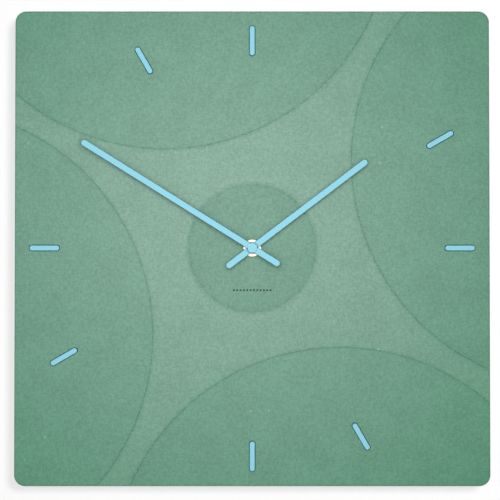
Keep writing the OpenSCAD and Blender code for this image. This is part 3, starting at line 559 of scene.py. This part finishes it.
def winding():
    """Enamelled copper wire: fine turns side by side, amber where the enamel is thick."""
    material, tree, shader, place = start_material("enamelled_copper")
    # Real wire is 0.02 mm thick; the turns are drawn 0.3 mm apart so that they show
    wave = add(
        tree, "TexWave", {0: place, "Scale": 0.314 / 0.3, "Distortion": 0.4},
        bands_direction="Z",
    )
    mix = add(
        tree,
        "Mix",
        {0: wave.outputs["Fac"], 6: (*linear("7a3f18"), 1), 7: (*linear("c9763a"), 1)},
        data_type="RGBA",
    )
    bump = add(tree, "Bump", {"Height": wave.outputs["Fac"], "Distance": 0.1 * MM})
    tree.links.new(mix.outputs[2], shader.inputs["Base Color"])
    tree.links.new(bump.outputs[0], shader.inputs["Normal"])
    shader.inputs["Metallic"].default_value = 0.85
    shader.inputs["Roughness"].default_value = 0.3
    return material


def sleeve_film(movement):
    """Shrunk PVC film on the cell: glossy, two colours, with a plain band between them."""
    material, tree, shader, place = start_material("shrunk_film")
    axes = add(tree, "SeparateXYZ", {0: place})
    end = CELL_HIGH.x / MM - 13
    warm = add(tree, "MapRange", {0: axes.outputs[0], 1: end, 2: end + 0.2})
    line = add(tree, "Math", {0: axes.outputs[0], 1: end - 1.0, 2: 0.5}, operation="COMPARE")
    noise = add(tree, "TexNoise", {0: place, "Scale": 0.4, "Detail": 2.0})
    base = add(
        tree,
        "Mix",
        {
            0: warm.outputs[0],
            6: (*movement.sleeve_colour, 1),
            7: (*linear("c08a3e"), 1),
        },
        data_type="RGBA",
    )
    base = add(
        tree,
        "Mix",
        {0: line.outputs[0], 6: base.outputs[2], 7: (*linear("e6e6e2"), 1)},
        data_type="RGBA",
    )
    gloss = add(tree, "MapRange", {0: noise.outputs[0], 3: 0.16, 4: 0.3})
    bump = add(tree, "Bump", {"Height": noise.outputs[0], "Distance": 0.04 * MM})
    tree.links.new(base.outputs[2], shader.inputs["Base Color"])
    tree.links.new(gloss.outputs[0], shader.inputs["Roughness"])
    tree.links.new(bump.outputs[0], shader.inputs["Normal"])
    return material


# Settings


def length(name, value, description):
    return FloatProperty(
        name=name, description=description, default=value * MM, unit="LENGTH", precision=4
    )


def colour(name, code, description):
    return FloatVectorProperty(
        name=name,
        description=description,
        default=linear(code),
        subtype="COLOR",
        size=3,
        min=0,
        max=1,
    )


class BoardSettings(bpy.types.PropertyGroup):
    """Sizes and colours of the board"""

    corner_radius: length("Corner radius", 7, "Radius of the corners, seen from the front")
    edge_radius: length("Edge radius", 1.5, "Rounding of the front and back edges")
    arc_radius: length("Arc radius", 143.7, "Radius of the four engraved arcs")
    arc_away: length("Arc distance", 213.7, "Distance of each arc's centre from the dial's")
    arc_turn: FloatProperty(
        name="Arc turn",
        description="Direction of the first arc's centre, from three o'clock",
        default=math.radians(15),
        subtype="ANGLE",
    )
    ring_radius: length("Ring radius", 39.9, "Radius of the engraved circle")
    line_width: length("Line width", 0.8, "Width of an engraved line")
    line_depth: length("Line depth", 0.3, "Depth of an engraved arc")
    ring_depth: length("Ring depth", 0.2, "Depth of the engraved circle")
    bush_hole: length("Bush hole", 4.15, "Radius of the hole for the movement's bush")
    pocket_floor: length("Pocket floor", 2.5, "Board left in front of the movement pocket")
    pocket_gap: length("Pocket gap", 1, "Free space round the movement in its pocket")
    print_drop: length("Print drop", 26.6, "Distance of the printed row below the centre")
    field_colour: colour("Field colour", "85ac9a", "Dye of the four fields")
    band_colour: colour("Band colour", "8fb2a1", "Dye of the band between the fields")
    disc_colour: colour("Disc colour", "7fa794", "Dye inside the engraved circle")
    core_colour: colour("Core colour", "789a89", "Dye of the sides, the back and the cuts")


class MarkSettings(bpy.types.PropertyGroup):
    """Sizes of the hour marks"""

    mark_length: length("Length", 19.1, "Length of a mark")
    mark_width: length("Width", 3.6, "Width of a mark")
    proud: length("Proud", 0.8, "How far a mark stands out of the board")
    thickness: length("Thickness", 2, "Thickness of a mark")
    square_gap: length("Square gap", 9.4, "Gap from an upright or level mark to the edge")
    slant_gap: length("Slant gap", 23.1, "Gap from a slanted mark's tip to the edge")
    clearance: length("Clearance", 0.3, "Clearance round a mark in its recess")


class HandSettings(bpy.types.PropertyGroup):
    """Sizes and colour of the hands"""

    width: length("Width", 4.1, "Width of a hand")
    hub_width: length("Hub width", 7, "Width of a hand's round hub")
    tail_reach: length("Tail", 20.2, "Reach of a hand's tail from the axis")
    hour_reach: length("Hour reach", 90.8, "Reach of the hour hand from the axis")
    minute_reach: length("Minute reach", 126.5, "Reach of the minute hand from the axis")
    hour_turn: FloatProperty(
        name="Hour turn",
        description="Where the hour hand points, clockwise from twelve",
        default=math.radians(52.8),
        subtype="ANGLE",
    )
    minute_turn: FloatProperty(
        name="Minute turn",
        description="Where the minute hand points, clockwise from twelve",
        default=math.radians(302),
        subtype="ANGLE",
    )
    enamel_colour: colour("Enamel", "8cd6e8", "Enamel of the hands and the marks")
    # The rim colour is painted shade on the sloped edges and the sides of the hands and the marks
    painted_rim_shade_colour: colour("Rim", "2b7890", "Enamel of the sloped edges and the sides")


class MovementSettings(bpy.types.PropertyGroup):
    """Sizes and colours of what shows of the movement"""

    case_corner: length("Case corner", 3, "Radius of the case's corners")
    side_wall: length("Side wall", 1.2, "Thickness of the case's side walls")
    rear_wall: length("Rear wall", 1.5, "Thickness of the case's rear wall")
    well_gap: length("Well gap", 1, "Free space round the setting knob in its well")
    grips: IntProperty(name="Grips", description="Grooves round the knob", default=24, min=8)
    nub_radius: length("Nub radius", 2.75, "Radius of the cell's positive nub")
    nub_length: length("Nub length", 1, "Length of the cell's positive nub")
    sleeve_colour: colour("Sleeve", "24384f", "Main colour of the cell's sleeve")


class HangerSettings(bpy.types.PropertyGroup):
    """Sizes of the hanger and the wall pads"""

    corner: length("Corner", 3, "Radius of the plate's corners")
    keyhole_width: length("Keyhole", 9, "Diameter of the hole that lets the screw head in")
    slot_width: length("Slot width", 4.5, "Width of the slot that holds the screw's neck")
    slot_travel: length("Slot travel", 8, "Travel from the hole to the top of the slot")
    screw_inset: length("Screw inset", 5, "Distance of a screw from the plate's end")
    head_radius: length("Head radius", 2.4, "Radius of a screw's head")
    shank_radius: length("Shank radius", 1.25, "Radius of a screw's shank")


class StageSettings(bpy.types.PropertyGroup):
    """Camera and light"""

    lens: FloatProperty(name="Lens", description="Focal length in mm", default=120)
    view_width: length("View width", 315.4, "Width of the view at the dial's face")
    camera_rise: FloatProperty(
        name="Camera rise",
        description="Angle of the camera above the dial's middle",
        default=math.radians(-1.3),
        subtype="ANGLE",
    )
    key_power: FloatProperty(name="Key power", description="Watts of the key light", default=0.35)
    key_away: length("Key distance", 315, "Distance of the key light from the dial's face")


# Pieces


class CLOCK_OT_materials(bpy.types.Operator):
    """Makes the finishes that the pieces share"""

    bl_idname = "clock.materials"
    bl_label = "Make the finishes"

    def execute(self, context):
        make_materials(context.scene)
        return {"FINISHED"}


class CLOCK_OT_board(bpy.types.Operator):
    """Models the board: rounded slab, engraved lines, recesses and the pockets in its back"""

    bl_idname = "clock.board"
    bl_label = "Model the board"

    def execute(self, context):
        board = context.scene.clock_board
        marks = context.scene.clock_marks
        hanger = context.scene.clock_hanger
        slab = block((-HALF, FACE, -HALF), (HALF, BACK, HALF), board.corner_radius, 10)
        edit(slab)
        middle = (FACE + BACK) / 2
        thick = BACK - FACE
        pick(slab, "EDGE", lambda at, way: abs(at.y - middle) > 0.49 * thick)
        bpy.ops.mesh.bevel(offset=board.edge_radius, segments=5)
        leave()

        # Engraved lines: a pointed ring is cut half its depth into the face
        rings = [(0, 0, board.ring_radius, board.ring_depth, 160)]
        for k in range(4):
            turn = board.arc_turn + k * math.pi / 2
            x, z = board.arc_away * math.cos(turn), board.arc_away * math.sin(turn)
            rings.append((x, z, board.arc_radius, board.line_depth, 360))
        for x, z, radius, depth, steps in rings:
            bpy.ops.mesh.primitive_torus_add(
                location=(x, FACE, z),
                rotation=(math.pi / 2, 0, 0),
                major_radius=radius,
                minor_radius=board.line_width / 2,
                major_segments=steps,
                minor_segments=4,
            )
            ring = bpy.context.object
            ring.scale.z = depth / (board.line_width / 2)
            apply_place(ring)
            combine(slab, ring)

        # Recesses for the marks
        for hour in HOURS:
            away = mark_middle(marks, hour)
            half = marks.mark_length / 2 + marks.clearance
            recess = bar(
                away - half,
                away + half,
                marks.mark_width + 2 * marks.clearance,
                FACE - CUT,
                FACE - marks.proud + marks.thickness,
            )
            recess.rotation_euler.y = math.radians(30 * hour)
            apply_place(recess)
            combine(slab, recess)

        # Bush hole, movement pocket, hanger recess, screw-head pocket and screw holes
        combine(slab, disc((0, 0), board.bush_hole, FACE - CUT, BACK))
        reach = CASE_HIGH.x + board.pocket_gap
        floor = FACE + board.pocket_floor
        combine(slab, block((-reach, floor, -reach), (reach, BACK + CUT, reach), 3 * MM))
        gap = 0.2 * MM
        combine(
            slab,
            block(
                (PLATE_LOW.x - gap, PLATE_LOW.y, PLATE_LOW.z - gap),
                (PLATE_HIGH.x + gap, BACK + CUT, PLATE_HIGH.z + gap),
                hanger.corner + gap,
            ),
        )
        depth = 6 * MM
        combine(
            slab,
            block(
                (-13 * MM, PLATE_LOW.y - depth, PLATE_LOW.z + 2 * MM),
                (13 * MM, BACK, PLATE_HIGH.z - 2 * MM),
                3 * MM,
            ),
        )
        for side in (-1, 1):
            x = side * (PLATE_HIGH.x - hanger.screw_inset)
            z = (PLATE_LOW.z + PLATE_HIGH.z) / 2
            combine(slab, disc((x, z), hanger.shank_radius, BACK - 10 * MM, BACK, 24))
        settle(
            slab, "board", "clock_body", "green_fibreboard", MATERIALS["green_fibreboard"],
            "dial_board",
        )
        return {"FINISHED"}


def mark_middle(marks, hour):
    """Distance of a mark's middle from the dial's centre."""
    if hour % 3 == 0:
        return HALF - marks.square_gap - marks.mark_length / 2
    return (HALF - marks.slant_gap) / math.cos(math.radians(30)) - marks.mark_length / 2


class CLOCK_OT_marks(bpy.types.Operator):
    """Models the enamelled hour marks: one of each distance, copied round the dial"""

    bl_idname = "clock.marks"
    bl_label = "Model the hour marks"

    def execute(self, context):
        marks = context.scene.clock_marks
        for hours in ((12, 3, 6, 9), (2, 5, 8, 11)):
            away = mark_middle(marks, hours[0])
            half = marks.mark_length / 2
            front = FACE - marks.proud
            first = bar(
                away - half, away + half, marks.mark_width, front + SLOPE,
                front + marks.thickness,
            )
            chamfer(first, front + SLOPE, 0.35 * MM, SLOPE)
            soften(first, 0.08 * MM, 2, 20)
            for hour in hours:
                one = copy_turned(first, math.radians(30 * hour))
                settle(
                    one, f"enamelled_mark_{hour}", "clock_body", "blue_enamel",
                    MATERIALS["blue_enamel"], f"hour_mark_{hour}",
                )
            bpy.data.objects.remove(first)
        return {"FINISHED"}


class CLOCK_OT_hands(bpy.types.Operator):
    """Models the two hands, each a stamped bar with a round hub"""

    bl_idname = "clock.hands"
    bl_label = "Model the hands"

    def execute(self, context):
        hands = context.scene.clock_hands
        for which, reach, turn, neck in (
            ("hour", hands.hour_reach, hands.hour_turn, 2.6 * MM),
            ("minute", hands.minute_reach, hands.minute_turn, 1.75 * MM),
        ):
            low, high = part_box(which + "_hand")
            front = low.y + SLOPE
            hand = bar(-hands.tail_reach, reach, hands.width, front, high.y)
            combine(hand, disc((0, 0), hands.hub_width / 2, front, high.y), "UNION")
            combine(hand, disc((0, 0), neck, low.y - CUT, high.y + CUT))
            flatten(hand)
            chamfer(hand, front, 0.2 * MM, SLOPE)
            soften(hand, 0.08 * MM, 2, 20)
            hand.rotation_euler.y = turn
            apply_place(hand)
            settle(
                hand, f"enamelled_{which}_hand", f"{which}_hand_group", "blue_enamel",
                MATERIALS["blue_enamel"], f"{which}_hand",
            )
        return {"FINISHED"}


class CLOCK_OT_cap(bpy.types.Operator):
    """Models the closed cap over the minute pipe"""

    bl_idname = "clock.cap"
    bl_label = "Model the cap"

    def execute(self, context):
        low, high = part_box("minute_hand_cap")
        cap = disc((0, 0), high.x, low.y, high.y, 72)
        edit(cap)
        pick(cap, "FACE", lambda at, normal: normal.y < -0.9)
        bpy.ops.mesh.inset(thickness=0.9 * MM)
        slide(y=-0.06 * MM)
        pick(cap, "FACE", lambda at, normal: normal.y > 0.9)
        bpy.ops.mesh.inset(thickness=high.x - 1.85 * MM)
        extrude(y=-0.8 * MM)
        leave()
        soften(cap, 0.3 * MM, 4, 60)
        settle(
            cap, "enamelled_cap", "minute_hand_group", "blue_enamel",
            MATERIALS["cap_enamel"], "minute_hand_cap",
        )
        return {"FINISHED"}


class CLOCK_OT_nut(bpy.types.Operator):
    """Models the round nut on the movement's bush"""

    bl_idname = "clock.nut"
    bl_label = "Model the nut"

    def execute(self, context):
        low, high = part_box("bush_nut")
        nut = disc((0, 0), high.x, low.y, high.y, 96)
        edit(nut)
        pick(nut, "EDGE", lambda at, way: at.y < low.y + 0.01 * MM)
        bpy.ops.mesh.bevel(offset=0.5 * MM, segments=4)
        leave()
        combine(nut, disc((0, 0), 4 * MM, low.y - CUT, high.y + CUT))
        wide = high.x + CUT
        slot = block((-wide, low.y - CUT, -0.6 * MM), (wide, low.y + 0.8 * MM, 0.6 * MM))
        combine(nut, slot)
        settle(
            nut, "round_nut", "clock_body", "nickel_plate", MATERIALS["nickel_plate"],
            "bush_nut",
        )
        return {"FINISHED"}


class CLOCK_OT_case_back(bpy.types.Operator):
    """Models the rear half of the movement's case, with the cell bay and the knob's well"""

    bl_idname = "clock.case_back"
    bl_label = "Model the case's rear half"

    def execute(self, context):
        movement = context.scene.clock_movement
        lip = 0.6 * MM
        front = CASE_LOW.y + lip
        rear = CASE_HIGH.y
        half = CASE_HIGH.x
        inside = half - movement.side_wall
        bay_top = CELL_HIGH.z + 0.1 * MM
        case = block((-half, front, -half), (half, rear, half), movement.case_corner)
        edit(case)
        pick(case, "EDGE", lambda at, way: at.y > rear - 0.01 * MM)
        bpy.ops.mesh.bevel(offset=0.6 * MM, segments=3)
        leave()
        floor = rear - movement.rear_wall
        corner = movement.case_corner - movement.side_wall
        combine(
            case, block((-inside, front - CUT, -inside), (inside, floor, inside), corner)
        )
        # Bay opening, the wall above it, and the well of the setting knob
        combine(
            case,
            block((-inside, front - CUT, -inside), (inside, rear + CUT, bay_top), 0.4 * MM, 3),
        )
        shelf = block(
            (-inside - 0.3 * MM, front, bay_top),
            (inside + 0.3 * MM, floor + 0.3 * MM, bay_top + 0.9 * MM),
        )
        combine(case, shelf, "UNION")
        x = (KNOB_LOW.x + KNOB_HIGH.x) / 2
        z = (KNOB_LOW.z + KNOB_HIGH.z) / 2
        well = KNOB_HIGH.x - x + movement.well_gap
        bottom = rear - 1.9 * MM
        tube = disc((x, z), well + 1.2 * MM, bottom - 1.2 * MM, rear - 0.2 * MM)
        combine(case, tube, "UNION")
        combine(case, disc((x, z), well, bottom, rear + CUT))
        combine(case, disc((x, z), 1.3 * MM, bottom - 2 * MM, bottom + CUT, 32))
        # Moulded details: a blank recessed panel, a rib round the well, and the cell's signs
        combine(
            case,
            block(
                (-22 * MM, rear - 0.5 * MM, 3 * MM), (4 * MM, rear + CUT, 22 * MM), 2 * MM, 5
            ),
        )
        ring = disc((x, z), well + 1.1 * MM, rear - 0.4 * MM, rear, 72)
        combine(ring, disc((x, z), well + 0.1 * MM, rear - CUT, rear + CUT, 72))
        combine(case, ring, "UNION")
        for place, upright in ((21 * MM, True), (-21 * MM, False)):
            z_sign = bay_top + 3.6 * MM
            long, half, deep = 2 * MM, 0.45 * MM, 0.5 * MM
            for wide, tall in ((long, half), (half, long))[: 2 if upright else 1]:
                sign = block(
                    (place - wide, rear - deep, z_sign - tall),
                    (place + wide, rear + CUT, z_sign + tall),
                )
                combine(case, sign)
        settle(
            case, "case_rear_half", "clock_body", "black_case", MATERIALS["black_case"],
            "case_back",
        )
        return {"FINISHED"}


class CLOCK_OT_knob(bpy.types.Operator):
    """Models the setting knob with its grips and its hollow ring"""

    bl_idname = "clock.knob"
    bl_label = "Model the setting knob"

    def execute(self, context):
        grips = context.scene.clock_movement.grips
        x = (KNOB_LOW.x + KNOB_HIGH.x) / 2
        z = (KNOB_LOW.z + KNOB_HIGH.z) / 2
        radius = KNOB_HIGH.x - x
        steps = 4 * grips
        knob = disc((x, z), radius, KNOB_LOW.y, KNOB_HIGH.y, steps)
        edit(knob)

        def in_groove(at):
            turn = math.atan2(at.z - z, at.x - x) / (2 * math.pi) * steps
            return round(turn) % 4 == 0

        pick(knob, "VERT", in_groove)
        bpy.ops.transform.resize(value=(0.955, 1, 0.955), center_override=(x, 0, z))
        leave()
        soften(knob, 0.1 * MM, 2, 75)
        ring = disc((x, z), 4.6 * MM, KNOB_HIGH.y - 0.6 * MM, KNOB_HIGH.y + CUT)
        combine(
            ring, disc((x, z), 2.8 * MM, KNOB_HIGH.y - 2 * MM, KNOB_HIGH.y + 2 * MM)
        )
        combine(knob, ring)
        combine(
            knob, disc((x, z), 1.2 * MM, KNOB_LOW.y - CUT, KNOB_LOW.y + 1.45 * MM, 32)
        )
        settle(
            knob, "knurled_knob", "setting_group", "grey_knob", MATERIALS["grey_knob"],
            "setting_knob",
        )
        return {"FINISHED"}


class CLOCK_OT_cell(bpy.types.Operator):
    """Models the cell: a drawn can with its nub and crimp, and the film shrunk on it"""

    bl_idname = "clock.cell"
    bl_label = "Model the cell"

    def execute(self, context):
        movement = context.scene.clock_movement
        axis_y = (CELL_LOW.y + CELL_HIGH.y) / 2
        axis_z = (CELL_LOW.z + CELL_HIGH.z) / 2
        can_r = (CAN_HIGH.z - CAN_LOW.z) / 2
        shoulder = CAN_HIGH.x - movement.nub_length

        def rod(left, right, radius, steps=72):
            bpy.ops.mesh.primitive_cylinder_add(
                vertices=steps,
                radius=radius,
                depth=right - left,
                location=((left + right) / 2, axis_y, axis_z),
                rotation=(0, math.pi / 2, 0),
            )
            made = bpy.context.object
            apply_place(made)
            return made

        can = rod(CAN_LOW.x, shoulder, can_r)
        edit(can)
        # Positive end: a sunk ring, then the raised nub
        pick(can, "FACE", lambda at, normal: normal.x > 0.9)
        bpy.ops.mesh.inset(thickness=1.1 * MM)
        extrude(x=-0.35 * MM)
        bpy.ops.mesh.inset(thickness=can_r - 1.1 * MM - movement.nub_radius)
        extrude(x=movement.nub_length + 0.35 * MM)
        # Negative end: a sunk ring round a flat raised disc
        pick(can, "FACE", lambda at, normal: normal.x < -0.9)
        bpy.ops.mesh.inset(thickness=1.3 * MM)
        extrude(x=0.3 * MM)
        bpy.ops.mesh.inset(thickness=0.8 * MM)
        extrude(x=-0.3 * MM)
        leave()
        soften(can, 0.13 * MM, 2, 50)
        settle(
            can, "drawn_can", "battery_group", "cell_can", MATERIALS["cell_can"], "battery_can"
        )
        sleeve = rod(CELL_LOW.x, CELL_HIGH.x, CELL_HIGH.z - axis_z)
        combine(sleeve, rod(CELL_LOW.x - CUT, CELL_HIGH.x + CUT, can_r))
        settle(
            sleeve, "shrunk_sleeve", "battery_group", "cell_sleeve",
            MATERIALS["cell_sleeve"], "battery_sleeve",
        )
        return {"FINISHED"}


class CLOCK_OT_hanger(bpy.types.Operator):
    """Models the keyhole plate and its two countersunk screws"""

    bl_idname = "clock.hanger"
    bl_label = "Model the hanger"

    def execute(self, context):
        hanger = context.scene.clock_hanger
        middle = (PLATE_LOW.z + PLATE_HIGH.z) / 2
        plate = block(PLATE_LOW, PLATE_HIGH, hanger.corner)
        travel = hanger.slot_travel
        hole = disc(
            (0, middle - travel / 2), hanger.keyhole_width / 2, PLATE_LOW.y - CUT,
            PLATE_HIGH.y + CUT,
        )
        slot = bar(
            -(travel + hanger.slot_width) / 2,
            (travel + hanger.slot_width) / 2,
            hanger.slot_width,
            PLATE_LOW.y - CUT,
            PLATE_HIGH.y + CUT,
        )
        slot.location.z = middle
        apply_place(slot)
        edit(plate)
        level = (PLATE_LOW.y + PLATE_HIGH.y) / 2
        pick(plate, "EDGE", lambda at, way: abs(at.y - level) > 0.5 * MM)
        bpy.ops.mesh.bevel(offset=0.2 * MM, segments=3)
        leave()
        combine(plate, hole)
        combine(plate, slot)
        thick = PLATE_HIGH.y - PLATE_LOW.y
        screws = []
        for side in (-1, 1):
            x = side * (PLATE_HIGH.x - hanger.screw_inset)
            combine(plate, countersink(hanger, (x, middle), thick, 0.1 * MM))
            head = countersink(hanger, (x, middle), thick, 0)
            shank = disc(
                (x, middle), hanger.shank_radius, PLATE_HIGH.y - 8 * MM,
                PLATE_LOW.y + 0.2 * MM, 64,
            )
            combine(head, shank, "UNION")
            for turn in (0, 1):
                wide, thin = (1.5 * MM, 0.3 * MM) if turn else (0.3 * MM, 1.5 * MM)
                cross = block(
                    (x - wide, PLATE_HIGH.y - 0.7 * MM, middle - thin),
                    (x + wide, PLATE_HIGH.y + CUT, middle + thin),
                )
                combine(head, cross)
            screws.append(head)
        settle(
            plate, "keyhole_plate", "clock_body", "zinc_steel", MATERIALS["zinc_steel"],
            "hanger_plate",
        )
        only(screws[0])
        screws[1].select_set(True)
        bpy.ops.object.join()
        settle(
            screws[0], "countersunk_screws", "clock_body", "brass", MATERIALS["brass"],
            "hanger_screws",
        )
        return {"FINISHED"}


def countersink(hanger, place, thick, past):
    """Cone of a countersunk head, run on past both sides of the plate when it is a cutter."""
    slope = (hanger.head_radius - hanger.shank_radius) / thick
    bpy.ops.mesh.primitive_cone_add(
        vertices=64,
        radius1=hanger.head_radius + slope * past,
        radius2=hanger.shank_radius - slope * past,
        depth=thick + 2 * past,
        location=(place[0], PLATE_HIGH.y - thick / 2, place[1]),
        rotation=(math.pi / 2, 0, 0),
    )
    obj = bpy.context.object
    apply_place(obj)
    return obj


class CLOCK_OT_pads(bpy.types.Operator):
    """Models the felt pads that rest on the wall"""

    bl_idname = "clock.pads"
    bl_label = "Model the wall pads"

    def execute(self, context):
        for corner in ("top_left", "top_right", "bottom_left", "bottom_right"):
            low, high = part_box("wall_pad_" + corner)
            middle = (low + high) / 2
            pad = disc((middle.x, middle.z), (high.x - low.x) / 2, low.y, high.y, 72)
            soften(pad, 0.45 * MM, 4, 60)
            settle(
                pad, "felt_disc_" + corner, "clock_body", "grey_felt", MATERIALS["grey_felt"],
                "wall_pad_" + corner,
            )
        return {"FINISHED"}


# Finish of each CAD node that keeps its shape
KEPT = {
    "hand_collet": ("hour_hand_collet", "minute_hand_collet"),
    "brass": ("bush_washer", "threaded_bush", "minute_pipe"),
    "black_rubber": ("rubber_washer",),
    "black_case": ("case_front",),
    "cream_plastic": ("mid_plate", "train_bridge"),
    "white_acetal": (
        "hour_wheel", "centre_wheel", "minute_works_wheel", "third_wheel", "seconds_wheel",
        "intermediate_wheel", "setting_shaft",
    ),
    "blue_acetal": ("rotor_spindle",),
    "magnet": ("rotor_magnet",),
    "zinc_steel": ("bridge_screws", "coil_screws", "seconds_arbor"),
    "core_steel": ("stator", "coil_core"),
    "bobbin_plastic": ("coil_bobbin",),
    "copper_winding": ("coil_winding",),
    "circuit_laminate": ("circuit_board",),
    "black_epoxy": ("chip_blob",),
    "tinned_metal": ("crystal_can", "positive_contact", "negative_contact"),
}


class CLOCK_OT_works(bpy.types.Operator):
    """Gives the works inside the case their finishes"""

    bl_idname = "clock.works"
    bl_label = "Finish the works"

    def execute(self, context):
        for finish, names in KEPT.items():
            for name in names:
                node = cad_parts[name]
                for holder in node.material_slots:
                    holder.material = MATERIALS[finish]
        return {"FINISHED"}


# Each lamp's place and diameter in metres, its watts, and what light linking does at the wall
LAMPS = {
    "front_panel": ((0, -1.9, 0.05), 25, 2.4, "EXCLUDE"),
    "wall_light": ((0.42, -1.6, 0.3), 8.0, 0.4, "INCLUDE"),
    "rear_left": ((-0.9, 1.2, 0.7), 3.4, 0.4, None),
    "rear_right": ((1.0, 1.3, 0.2), 0.9, 0.4, None),
}


class CLOCK_OT_stage(bpy.types.Operator):
    """Sets up the wall, the floor, the lights and the camera"""

    bl_idname = "clock.stage"
    bl_label = "Set up the stage"

    def execute(self, context):
        scene = context.scene
        stage = scene.clock_stage
        wall = plane("wall", (0, 0.2 * MM, 0), (math.pi / 2, 0, 0), 4.0)
        floor = plane("floor", (0, -1.5, -1.6), (0, 0, 0), 8.0)
        wall.data.materials.append(wall_paint())
        floor.data.materials.append(
            grained(
                "pale_floor", linear("e6e6e4"), 0.7, 40.0, 0.2, shade=0.01,
                Emission_Color=(1, 1, 1, 1), Emission_Strength=0.55,
            )
        )
        # The wall casts no shadow on the back, and the floor's own light stays off the board
        wall.visible_shadow = False
        floor.visible_diffuse = False

        key = lamp("key", (-19 * MM, FACE - stage.key_away, 46 * MM), stage.key_power, 0.16)
        key.visible_glossy = False
        share(key, wall, "EXCLUDE")
        for name, (place, watts, size, on_wall) in LAMPS.items():
            made = lamp(name, place, watts, size)
            if on_wall:
                share(made, wall, on_wall)

        world = bpy.data.worlds.new("studio")
        scene.world = world
        world.use_nodes = True
        world.node_tree.nodes.clear()
        tree = world.node_tree
        ray = add(tree, "LightPath")
        strength = add(tree, "MapRange", {0: ray.outputs["Is Camera Ray"], 3: 0.15, 4: 0.93})
        ground = add(
            tree, "Background", {"Color": (1, 1, 1, 1), "Strength": strength.outputs[0]}
        )
        add(tree, "OutputWorld", {"Surface": ground.outputs[0]})

        data = bpy.data.cameras.new("camera")
        data.lens = stage.lens
        data.sensor_width = 36
        away = stage.view_width * stage.lens / data.sensor_width
        camera = bpy.data.objects.new("camera", data)
        camera.location = (
            -1.41 * MM,
            FACE - away * math.cos(stage.camera_rise),
            -1.26 * MM + away * math.sin(stage.camera_rise),
        )
        camera.rotation_euler = (math.pi / 2 - stage.camera_rise, 0, 0)
        scene.collection.objects.link(camera)
        scene.camera = camera
        scene.view_settings.view_transform = "Standard"
        return {"FINISHED"}


def plane(name, place, turn, size):
    bpy.ops.object.select_all(action="DESELECT")
    bpy.ops.mesh.primitive_plane_add(size=size, location=place, rotation=turn)
    obj = bpy.context.object
    obj.name = name
    apply_place(obj)
    return obj


def lamp(name, place, power, size):
    """Round soft light that faces the clock and that the camera doesn't see."""
    data = bpy.data.lights.new(name, "AREA")
    data.shape = "DISK"
    data.size = size
    data.energy = power
    obj = bpy.data.objects.new(name, data)
    obj.location = place
    to_clock = -obj.location.copy()
    obj.rotation_mode = "QUATERNION"
    obj.rotation_quaternion = to_clock.to_track_quat("-Z", "Y")
    obj.visible_camera = False
    bpy.context.scene.collection.objects.link(obj)
    return obj


def share(light, obj, state):
    """Says that a light falls only on one object, or on all but it."""
    group = bpy.data.collections.new(light.name + "_share")
    group.objects.link(obj)
    light.light_linking.receiver_collection = group
    group.collection_objects[0].light_linking.link_state = state


def wall_paint():
    """Matt white wall that is only there from the front, so that it never hides the back."""
    material, tree, shader, place = start_material("white_wall")
    noise = add(tree, "TexNoise", {0: place, "Scale": 0.02, "Detail": 1.0})
    shade = add(
        tree, "Mix", {0: noise.outputs[0], 6: (0.79, 0.79, 0.79, 1), 7: (0.81, 0.81, 0.81, 1)},
        data_type="RGBA",
    )
    tree.links.new(shade.outputs[2], shader.inputs["Base Color"])
    shader.inputs["Roughness"].default_value = 0.9
    shader.inputs["Specular IOR Level"].default_value = 0.0
    shader.inputs["Emission Color"].default_value = (1, 0.985, 0.99, 1)
    shader.inputs["Emission Strength"].default_value = 0.66
    side = add(tree, "NewGeometry")
    clear = add(tree, "BsdfTransparent")
    mix = add(
        tree, "MixShader",
        {0: side.outputs["Backfacing"], 1: shader.outputs[0], 2: clear.outputs[0]},
    )
    output = next(n for n in tree.nodes if n.type == "OUTPUT_MATERIAL")
    tree.links.new(mix.outputs[0], output.inputs["Surface"])
    return material


OPERATORS = (
    CLOCK_OT_materials, CLOCK_OT_board, CLOCK_OT_marks, CLOCK_OT_hands, CLOCK_OT_cap,
    CLOCK_OT_nut, CLOCK_OT_case_back, CLOCK_OT_knob, CLOCK_OT_cell, CLOCK_OT_hanger,
    CLOCK_OT_pads, CLOCK_OT_works, CLOCK_OT_stage,
)
SETTINGS = {
    "clock_board": BoardSettings,
    "clock_marks": MarkSettings,
    "clock_hands": HandSettings,
    "clock_movement": MovementSettings,
    "clock_hanger": HangerSettings,
    "clock_stage": StageSettings,
}


class CLOCK_PT_panel(bpy.types.Panel):
    """Lists the settings and the operators"""

    bl_idname = "CLOCK_PT_panel"
    bl_label = "Square wall clock"
    bl_space_type = "VIEW_3D"
    bl_region_type = "UI"
    bl_category = "Clock"

    def draw(self, context):
        for operator in OPERATORS:
            self.layout.operator(operator.bl_idname)
        for name, group in SETTINGS.items():
            box = self.layout.box()
            settings = getattr(context.scene, name)
            for key in group.__annotations__:
                box.prop(settings, key)


def register():
    for cls in (*SETTINGS.values(), *OPERATORS, CLOCK_PT_panel):
        bpy.utils.register_class(cls)
    for name, group in SETTINGS.items():
        setattr(bpy.types.Scene, name, PointerProperty(type=group))


def unregister():
    for name in SETTINGS:
        delattr(bpy.types.Scene, name)
    for cls in reversed((*SETTINGS.values(), *OPERATORS, CLOCK_PT_panel)):
        bpy.utils.unregister_class(cls)


def main():
    register()
    for operator in OPERATORS:
        group, name = operator.bl_idname.split(".")
        getattr(getattr(bpy.ops, group), name)()


if __name__ == "__main__":
    main()
